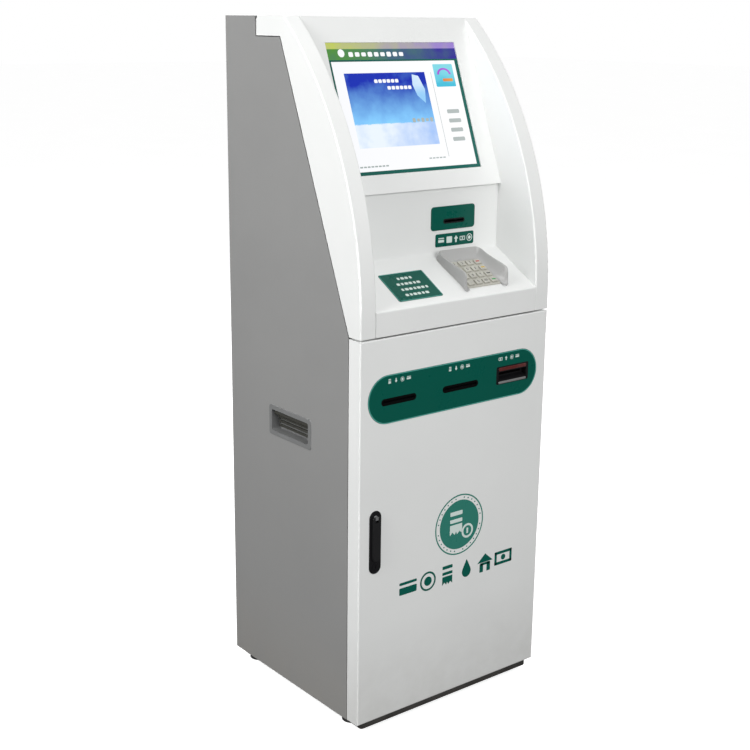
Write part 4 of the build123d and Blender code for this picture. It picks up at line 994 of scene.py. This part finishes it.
class KIOSK_OT_key_marks(bpy.types.Operator):
    """Digits and coloured bars on the sixteen keys"""

    bl_idname = "kiosk.key_marks"
    bl_label = "Key marks"

    def execute(self, context):
        for number, face in enumerate(KEY_FACES, 1):
            body = f"key_{number:02d}"
            place = flat_frame(body, DECK_UP)
            if f"key_{face}" in FINISHES:
                mark, finish = bar(11 * MM, 3.2 * MM, 0, 0, -0.02 * MM), f"key_{face}"
            else:
                mark, finish = self.letters(face), "dark_print"
            lay([mark], place, f"{body}_mark", body, "black_plastic", finish)
        return {"FINISHED"}

    def letters(self, words):
        """Raised characters as a closed mesh."""
        deselect()
        bpy.ops.object.text_add(location=(0, 0, 0))
        text = bpy.context.object.data
        text.body = words
        text.size = 10 * MM
        text.align_x = "CENTER"
        text.align_y = "CENTER"
        text.extrude = 0.1 * MM
        bpy.ops.object.convert(target="MESH")
        obj = bpy.context.object
        edit(obj, "FACE")
        bpy.ops.mesh.remove_doubles(threshold=0.01 * MM)
        leave_edit()
        return obj


class KIOSK_OT_keypad_shield(bpy.types.Operator):
    """The moulded privacy shield: flared flanks that rise to the front, a low back and a hollow inner slope"""

    bl_idname = "kiosk.keypad_shield"
    bl_label = "Keypad shield"

    def execute(self, context):
        deck = flat_frame("label_plates", DECK_UP)
        slope, up, origin = (deck.col[index].to_3d() for index in (1, 2, 3))
        low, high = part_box("keypad_case")
        case = (low + high) / 2
        foot = origin - up * MM
        foot += slope * (case - foot).dot(slope)
        deselect()
        bpy.ops.mesh.primitive_grid_add(x_subdivisions=96, y_subdivisions=16, size=1)
        obj = context.object
        for vertex in obj.data.vertices:
            vertex.co = self.skin_point(vertex.co.x + 0.5, vertex.co.y + 0.5)
        edit(obj, "FACE")
        bpy.ops.mesh.remove_doubles(threshold=0.02 * MM)
        bpy.ops.mesh.select_all(action="DESELECT")
        bpy.ops.mesh.select_mode(type="EDGE")
        bpy.ops.mesh.select_non_manifold()
        bpy.ops.mesh.fill_holes(sides=0)
        bpy.ops.mesh.select_all(action="SELECT")
        bpy.ops.mesh.normals_make_consistent(inside=False)
        leave_edit()
        apply_place(obj, place_matrix(RIGHT, slope, up, (case.x, foot.y, foot.z)))
        finish_piece(obj, "pin_shield", "hood", "shield_grey", smooth=50)
        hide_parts("keypad_shield")
        return {"FINISHED"}

    def skin_point(self, along, across):
        """A point of the shield's skin: along runs left flank, back, right flank, across runs round the wall."""
        half, back, front = 66.0, 73.0, -55.5
        corner = 16.0
        flank = back - front - corner
        bend = corner * math.pi / 2
        width = 2 * (half - corner)
        total = 2 * (flank + bend) + width
        run = along * total
        if run < flank:
            x, y, out = -half, front + run, (-1.0, 0.0)
        elif run < flank + bend:
            turn = (run - flank) / corner
            x, y = -half + corner - corner * math.cos(turn), back - corner + corner * math.sin(turn)
            out = (-math.cos(turn), math.sin(turn))
        elif run < flank + bend + width:
            x, y, out = -half + corner + (run - flank - bend), back, (0.0, 1.0)
        elif run < flank + 2 * bend + width:
            turn = (run - flank - bend - width) / corner
            x, y = half - corner + corner * math.sin(turn), back - corner + corner * math.cos(turn)
            out = (math.sin(turn), math.cos(turn))
        else:
            x, y, out = half, back - corner - (run - flank - 2 * bend - width), (1.0, 0.0)
        share = (y - front) / (back - front)
        if share < 0.20:
            height = 5.0 + 31.0 * math.sin(0.5 * math.pi * share / 0.20) ** 1.4
        else:
            height = 36.0 - 18.0 * math.sin(0.5 * math.pi * min(1.0, (share - 0.20) / 0.80)) ** 1.3
        flank_share = abs(out[0])
        foot = 19.6 * flank_share + 29.0 * (1 - flank_share)
        if share < 0.25:
            foot -= 7.0 * (1 - share / 0.25)
        lean = 4.0 * flank_share * max(0.0, 1 - abs(share - 0.18) / 0.5)
        inner = 3.4
        slope = height - inner
        reach = foot - 4.2
        section = [
            (lean, 0.0), (lean * 0.8, height * 0.35), (lean * 0.4, height * 0.7), (0.2, height - 1.6),
            (0.9, height - 0.4), (2.0, height), (3.2, height - 0.5), (4.2, height - 1.8),
            (4.2 + reach * 0.16, inner + slope * 0.70), (4.2 + reach * 0.36, inner + slope * 0.42),
            (4.2 + reach * 0.62, inner + slope * 0.18), (4.2 + reach * 0.84, inner + slope * 0.06),
            (foot, inner), (foot - 0.4, 3.2), (foot * 0.5, 3.2), (foot * 0.5, 0.0), (lean, 0.0),
        ]
        place = min(len(section) - 1, int(round(across * (len(section) - 1))))
        inward, rise = section[place]
        return Vector(((x - out[0] * inward) * MM, (y - out[1] * inward) * MM, rise * MM))


# ------------------------------------------------------------------ banknote mouth, grips, door seal
class KIOSK_OT_bill_mouth(bpy.types.Operator):
    """The banknote mouth's red light strip and grey lower lip"""

    bl_idname = "kiosk.bill_mouth"
    bl_label = "Banknote mouth"

    def execute(self, context):
        place = frame_at((0, DOOR_FRONT, 0), FRONT)
        wide = 88 * MM
        for name, high, thick, corner, rise, edge, slot, finish in (
            ("bill_light", 8, 0.8, 3, 14.5, 0.5, "switch_red", "red_lens"),
            ("bill_lip", 5.6, 1.2, 2.2, -17.2, 0.7, "grip_grey", None),
        ):
            centre = (BILL_X * MM, (PANEL_Z + rise) * MM)
            plate = round_plate(wide, high * MM, thick * MM, corner * MM, centre, 0, edge * MM)
            lay([plate], place, name, "door", slot, finish)
        return {"FINISHED"}


class KIOSK_OT_grip_ribs(bpy.types.Operator):
    """A finger ledge and level ribs inside each side grip, coloured darker than the grip's rim as painted shade
    at the floor of the pocket
    """

    bl_idname = "kiosk.grip_ribs"
    bl_label = "Grip ribs"

    def execute(self, context):
        depth = 25.4 * MM
        for side, node in ((-1, "side_grip_left"), (1, "side_grip_right")):
            low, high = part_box(node)
            floor = (low.x if side < 0 else high.x) - side * depth
            place = frame_at((floor, (low.y + high.y) / 2, (low.z + high.z) / 2), (side, 0, 0))
            parts = [round_plate(144 * MM, 8 * MM, 19 * MM, 3 * MM, (0, 17 * MM), 0, 2 * MM)]
            for row in range(3):
                centre = (side * 2 * MM, (5 - 11 * row) * MM)
                parts.append(round_plate(138 * MM, 5 * MM, (9 - 2 * row) * MM, 2 * MM, centre, 0, 1.2 * MM))
            # The ribs get a near-black finish: painted shade at the floor of the pocket.
            lay(parts, place, f"{node}_ribs", "cabinet", "grip_grey", "grip_floor_painted_shade")
        return {"FINISHED"}


class KIOSK_OT_door_seal(bpy.types.Operator):
    """A foam seal on the door frame, in the gap behind the door"""

    bl_idname = "kiosk.door_seal"
    bl_label = "Door seal"

    def execute(self, context):
        low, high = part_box("door_frame")
        place = frame_at((0, low.y, 0), FRONT)
        wide, inset, gap = sizes().seal_width, 12 * MM, 1 * MM
        thick, corner, edge = 1.5 * MM, 2 * MM, 0.5 * MM
        tall, level = high.z - low.z - 2 * inset, (low.z + high.z) / 2
        across = high.x - low.x - 2 * inset - wide - gap
        parts = []
        for side, height in ((-1, low.z + inset), (1, high.z - inset)):
            parts.append(round_plate(wide, tall, thick, corner, (side * (high.x - inset), level), 0, edge))
            parts.append(round_plate(across, wide, thick, corner, (0, height), 0, edge))
        lay(parts, place, "door_seal", "cabinet", "black_rubber")
        return {"FINISHED"}


# ------------------------------------------------------------------ rear: scoops, screws, plate
class KIOSK_OT_louvre_scoops(bpy.types.Operator):
    """Pressed scoops over the rear panel's air slots"""

    bl_idname = "kiosk.louvre_scoops"
    bl_label = "Louvre scoops"

    def execute(self, context):
        rows, pitch = 9, 16
        parts = [self.scoop(column * MM, (middle + (row - rows // 2) * pitch) * MM)
                 for middle in (1120, 330) for column in (-130, 130) for row in range(rows)]
        lay(parts, frame_at((0, REAR_BACK, 0), REAR), "louvre_scoops", "cabinet", "cabinet_grey")
        return {"FINISHED"}

    def scoop(self, x, z):
        """One scoop: a block whose upper edge is leaned back and whose long edges are rounded."""
        high, wide, proud, rise = 11 * MM, 112 * MM, 4.5 * MM, 2.6 * MM
        obj = cube((wide, high, proud), (x, z + rise, proud / 2))
        for vertex in obj.data.vertices:
            if vertex.co.z > proud / 2 and vertex.co.y > z + rise:
                vertex.co.z = 0.6 * MM
        round_edges(obj, lambda edge: all(v.co.z > 2 * MM for v in edge.verts), 1.6 * MM, 4)
        return obj


def screw(size):
    """A pan-head screw with a cross recess, at the origin."""
    height = size * 0.30
    obj = rod(size / 2, height, (0, 0, size * 0.15), 28)
    round_edges(obj, rim_at(height), size * 0.14, 3)
    arm, slit = size * 0.60, size * 0.13
    cross = join([cube((arm, slit, height), (0, 0, height)), cube((slit, arm, height), (0, 0, height))])
    cut = obj.modifiers.new("recess", "BOOLEAN")
    cut.operation = "DIFFERENCE"
    cut.solver = "EXACT"
    cut.use_self = True
    cut.object = cross
    select_only(obj)
    bpy.ops.object.modifier_apply(modifier="recess")
    bpy.data.objects.remove(cross, do_unlink=True)
    return obj


def screw_rows(name, body, place, spots):
    """Screws at a list of places on a face."""
    made = copies(screw(sizes().screw_head), [(x, y, 0) for x, y in spots])
    lay(made, place, name, body, "zinc_sheet")


class KIOSK_OT_screws(bpy.types.Operator):
    """Screws along the rear panel and on the mains inlet"""

    bl_idname = "kiosk.screws"
    bl_label = "Screws"

    def execute(self, context):
        spots = [(side * MM, (70 + 245 * row) * MM) for side in (-268, 268) for row in range(7)]
        spots += [(side * MM, level * MM) for side in (-90, 90) for level in (1588, 42)]
        screw_rows("rear_screws", "cabinet", frame_at((0, REAR_BACK, 0), REAR), spots)
        low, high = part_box("power_inlet")
        middle, level = -(low.x + high.x) / 2, (low.z + high.z) / 2
        spots = [(middle + side * MM, level) for side in (-20, 20)]
        screw_rows("inlet_screws", "cabinet", frame_at((0, high.y, 0), REAR), spots)
        return {"FINISHED"}


class KIOSK_OT_rating_plate(bpy.types.Operator):
    """A blank rating plate with plain bars beside the mains inlet"""

    bl_idname = "kiosk.rating_plate"
    bl_label = "Rating plate"

    def execute(self, context):
        rear = frame_at((0, REAR_BACK, 0), REAR)
        x, z, thick = -70, 130, 0.6 * MM
        plate = round_plate(70 * MM, 44 * MM, thick, 3 * MM, (x * MM, z * MM), 0, 0.3 * MM)
        lay([plate], rear, "rating_plate", "cabinet", "brushed_steel")
        bars = []
        for row, (wide, shift) in enumerate(((56, 0), (44, 6), (56, 0), (44, 6))):
            bars.append(bar(wide * MM, 2.4 * MM, (x - shift) * MM, (z + 13 - 8 * row) * MM, thick))
        lay(bars, rear, "rating_bars", "cabinet", "black_plastic", "dark_print")
        return {"FINISHED"}


# ------------------------------------------------------------------ base frame, fan and fittings inside
class KIOSK_OT_base_frame(bpy.types.Operator):
    """A low black frame under the tray, set back behind the door's lower edge; its black is partly the frame's
    own paint and partly painted shade of the gap under the cabinet
    """

    bl_idname = "kiosk.base_frame"
    bl_label = "Base frame"

    def execute(self, context):
        high_z, low_z = 27.9 * MM, 12 * MM
        front, back, half, wall = -248 * MM, 246 * MM, 264 * MM, 8 * MM
        obj = cube((2 * half, back - front, high_z - low_z), (0, (front + back) / 2, (high_z + low_z) / 2))
        round_edges(obj, is_upright, 6 * MM, 4)
        hollow(obj, wall)
        round_edges(obj, lambda e: abs(e.calc_face_angle(0)) > 1.0 and not is_upright(e), 0.8 * MM, 2)
        # Black paint here is partly the frame's own colour and partly painted shade of the gap under the
        # cabinet.
        fitting([obj], "base_frame", "cabinet", "black_paint")
        return {"FINISHED"}


class KIOSK_OT_fan_blades(bpy.types.Operator):
    """The fan rotor with pitched, swept blades round a rounded hub"""

    bl_idname = "kiosk.fan_blades"
    bl_label = "Fan blades"

    def execute(self, context):
        low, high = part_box("fan_rotor")
        depth, count = high.y - low.y, 7
        hub = rod(19 * MM, depth, (0, 0, depth / 2), 64)
        round_edges(hub, rim_at(depth), 3 * MM, 5)
        sink(hub, lambda face: face.normal.z < -0.9, 16.9 * MM, depth - 1 * MM)
        face_out(hub)
        blades = copies(self.blade(depth), [(0, 0, 2 * math.pi * index / count) for index in range(count)])
        place = frame_at(((low.x + high.x) / 2, low.y, (low.z + high.z) / 2), REAR)
        piece = lay([hub, *blades], place, "fan_blades", "fan_rotor", "black_plastic")
        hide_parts("fan_rotor")
        return {"FINISHED"}

    def blade(self, depth):
        """One blade: a grid swept and pitched between hub and tip, then given its thickness."""
        deselect()
        bpy.ops.mesh.primitive_grid_add(x_subdivisions=10, y_subdivisions=8, size=1)
        obj = bpy.context.object
        for vertex in obj.data.vertices:
            out = vertex.co.x + 0.5
            chord = vertex.co.y
            radius = (18.0 + 35.0 * out) * MM
            wide = 0.46 + 0.06 * out
            turn = chord * wide - 0.22 * out * out
            pitch = (0.50 - 0.12 * out) * chord
            lift = depth * (0.5 + pitch * 1.2) + 0.9 * MM * math.cos(math.pi * chord)
            vertex.co = Vector((radius * math.cos(turn), radius * math.sin(turn), lift))
        thick = obj.modifiers.new("thickness", "SOLIDIFY")
        thick.thickness = 1.6 * MM
        thick.offset = 0
        select_only(obj)
        bpy.ops.object.modifier_apply(modifier="thickness")
        deselect()
        return obj


class KIOSK_OT_inside_fittings(bpy.types.Operator):
    """Covers, latches, buttons and lamps on the computer, the printers and the banknote acceptor"""

    bl_idname = "kiosk.inside_fittings"
    bl_label = "Inside fittings"

    def execute(self, context):
        low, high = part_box("computer_unit")
        base = (low.x, low.y, (low.z + high.z) / 2)
        fitting([
            block((126, 6, 104), base, (74, -2.6, 0), 3),
            block((96, 3, 16), base, (74, -6.5, 34)),
            block((96, 3, 16), base, (74, -6.5, 12)),
        ], "computer_face", "cabinet", "black_plastic")
        button = rod(8 * MM, 3 * MM, (low.x + 40 * MM, base[2] - 26 * MM, 0), 40)
        apply_place(button, frame_at((0, low.y - 5.4 * MM, 0), FRONT))
        lamps = [block((14, 3, 6), base, (x, -5.6, -24), 1) for x in (74, 98)]
        fitting([button, *lamps], "computer_button", "cabinet", "brushed_steel")
        for node, slot in (("receipt_printer", "machine_beige"), ("invoice_printer", "black_plastic")):
            top, foot = self.front_middle(node)
            wide = 2 * (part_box(node)[1].x - foot[0]) / MM
            fitting([
                block((wide - 12, 100, 5), top, (0, 60, 2.3), 2),
                block((28, 5, 16), top, (0, -2.2, -12), 2),
                block((wide - 20, 4, 60), foot, (0, -1.8, 46)),
            ], f"{node}_cover", "cabinet", slot)
            lamps = [block((9, 4, 9), foot, (x, -3.6, 58)) for x in (-34, -20)]
            fitting(lamps, f"{node}_lamps", "cabinet", "green_panel")
        top, foot = self.front_middle("bill_acceptor")
        fitting([
            block((92, 5, 50), foot, (0, -2.3, 70), 2),
            block((36, 12, 8), top, (0, -6, -14), 2.5),
        ], "acceptor_face", "cabinet", "black_plastic")
        fitting([block((60, 3, 12), foot, (0, -5.4, 80), 1)], "acceptor_lamp", "cabinet", "switch_red")
        low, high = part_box("cash_box")
        middle = (low.x + high.x) / 2
        fitting([
            block((66, 120, 3), (middle, (low.y + high.y) / 2, high.z), (0, -10, 1.2), 1),
            block((12, 8, 14), (middle, high.y, high.z), (0, -28, -24), 2),
        ], "cash_box_lid", "cash_box", "cash_box_blue")
        return {"FINISHED"}

    def front_middle(self, node):
        """The middle of a node's front at its top and at its foot."""
        low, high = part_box(node)
        middle = (low.x + high.x) / 2
        return (middle, low.y, high.z), (middle, low.y, low.z)


class KIOSK_OT_door_inside(bpy.types.Operator):
    """Two folded stiffeners, a document pocket and screws on the inner face of the door"""

    bl_idname = "kiosk.door_inside"
    bl_label = "Door inside"

    def execute(self, context):
        skin_y = DOOR_FRONT + 2 * MM
        base = (0, skin_y, 0)
        parts = [block((480, 16, 30), base, (0, 8.2, level), 2.5) for level in (250, 610)]
        parts += [block((26, 12, 320), base, (side, 6.2, 430), 2.5) for side in (-150, 150)]
        fitting(parts, "door_stiffeners", "door", "white_paint")
        pocket = block((220, 18, 130), base, (0, 9.2, 145), 3)
        sink(pocket, lambda face: face.normal.z > 0.9, 2 * MM, -118 * MM)
        fitting([pocket], "door_pocket", "door", "black_plastic")
        spots = [(x * MM, z * MM) for x in (-200, -60, 68, 208) for z in (747, 847)]
        screw_rows("panel_screws", "door", frame_at((0, skin_y + 4 * MM, 0), REAR), spots)
        return {"FINISHED"}


OPERATORS = [
    KIOSK_OT_stage, KIOSK_OT_cad_finishes, KIOSK_OT_screen_page, KIOSK_OT_door_marks, KIOSK_OT_outlet_marks,
    KIOSK_OT_plate_marks, KIOSK_OT_key_marks, KIOSK_OT_keypad_shield, KIOSK_OT_bill_mouth, KIOSK_OT_grip_ribs,
    KIOSK_OT_door_seal, KIOSK_OT_louvre_scoops, KIOSK_OT_screws, KIOSK_OT_rating_plate, KIOSK_OT_base_frame,
    KIOSK_OT_fan_blades, KIOSK_OT_inside_fittings, KIOSK_OT_door_inside,
]


class KIOSK_PT_sidebar(bpy.types.Panel):
    """Lists the kiosk's settings and building steps"""

    bl_idname = "KIOSK_PT_sidebar"
    bl_label = "Payment Kiosk"
    bl_space_type = "VIEW_3D"
    bl_region_type = "UI"
    bl_category = "Kiosk"

    def draw(self, context):
        layout = self.layout
        for group in (context.scene.kiosk_sizes, context.scene.kiosk_colours, context.scene.kiosk_camera):
            box = layout.box()
            for name in group.__annotations__:
                box.prop(group, name)
        for operator in OPERATORS:
            layout.operator(operator.bl_idname)


CLASSES = [KioskSizes, KioskColours, KioskCamera, *OPERATORS, KIOSK_PT_sidebar]


def register():
    for cls in CLASSES:
        bpy.utils.register_class(cls)
    bpy.types.Scene.kiosk_sizes = PointerProperty(type=KioskSizes)
    bpy.types.Scene.kiosk_colours = PointerProperty(type=KioskColours)
    bpy.types.Scene.kiosk_camera = PointerProperty(type=KioskCamera)


def unregister():
    del bpy.types.Scene.kiosk_sizes
    del bpy.types.Scene.kiosk_colours
    del bpy.types.Scene.kiosk_camera
    for cls in reversed(CLASSES):
        bpy.utils.unregister_class(cls)


def main():
    """Builds the whole scene."""
    register()
    bpy.ops.kiosk.stage()
    bpy.ops.kiosk.cad_finishes()
    bpy.ops.kiosk.screen_page()
    bpy.ops.kiosk.door_marks()
    bpy.ops.kiosk.outlet_marks()
    bpy.ops.kiosk.plate_marks()
    bpy.ops.kiosk.key_marks()
    bpy.ops.kiosk.keypad_shield()
    bpy.ops.kiosk.bill_mouth()
    bpy.ops.kiosk.grip_ribs()
    bpy.ops.kiosk.door_seal()
    bpy.ops.kiosk.louvre_scoops()
    bpy.ops.kiosk.screws()
    bpy.ops.kiosk.rating_plate()
    bpy.ops.kiosk.base_frame()
    bpy.ops.kiosk.fan_blades()
    bpy.ops.kiosk.inside_fittings()
    bpy.ops.kiosk.door_inside()
    deselect()


if __name__ == "__main__":
    main()
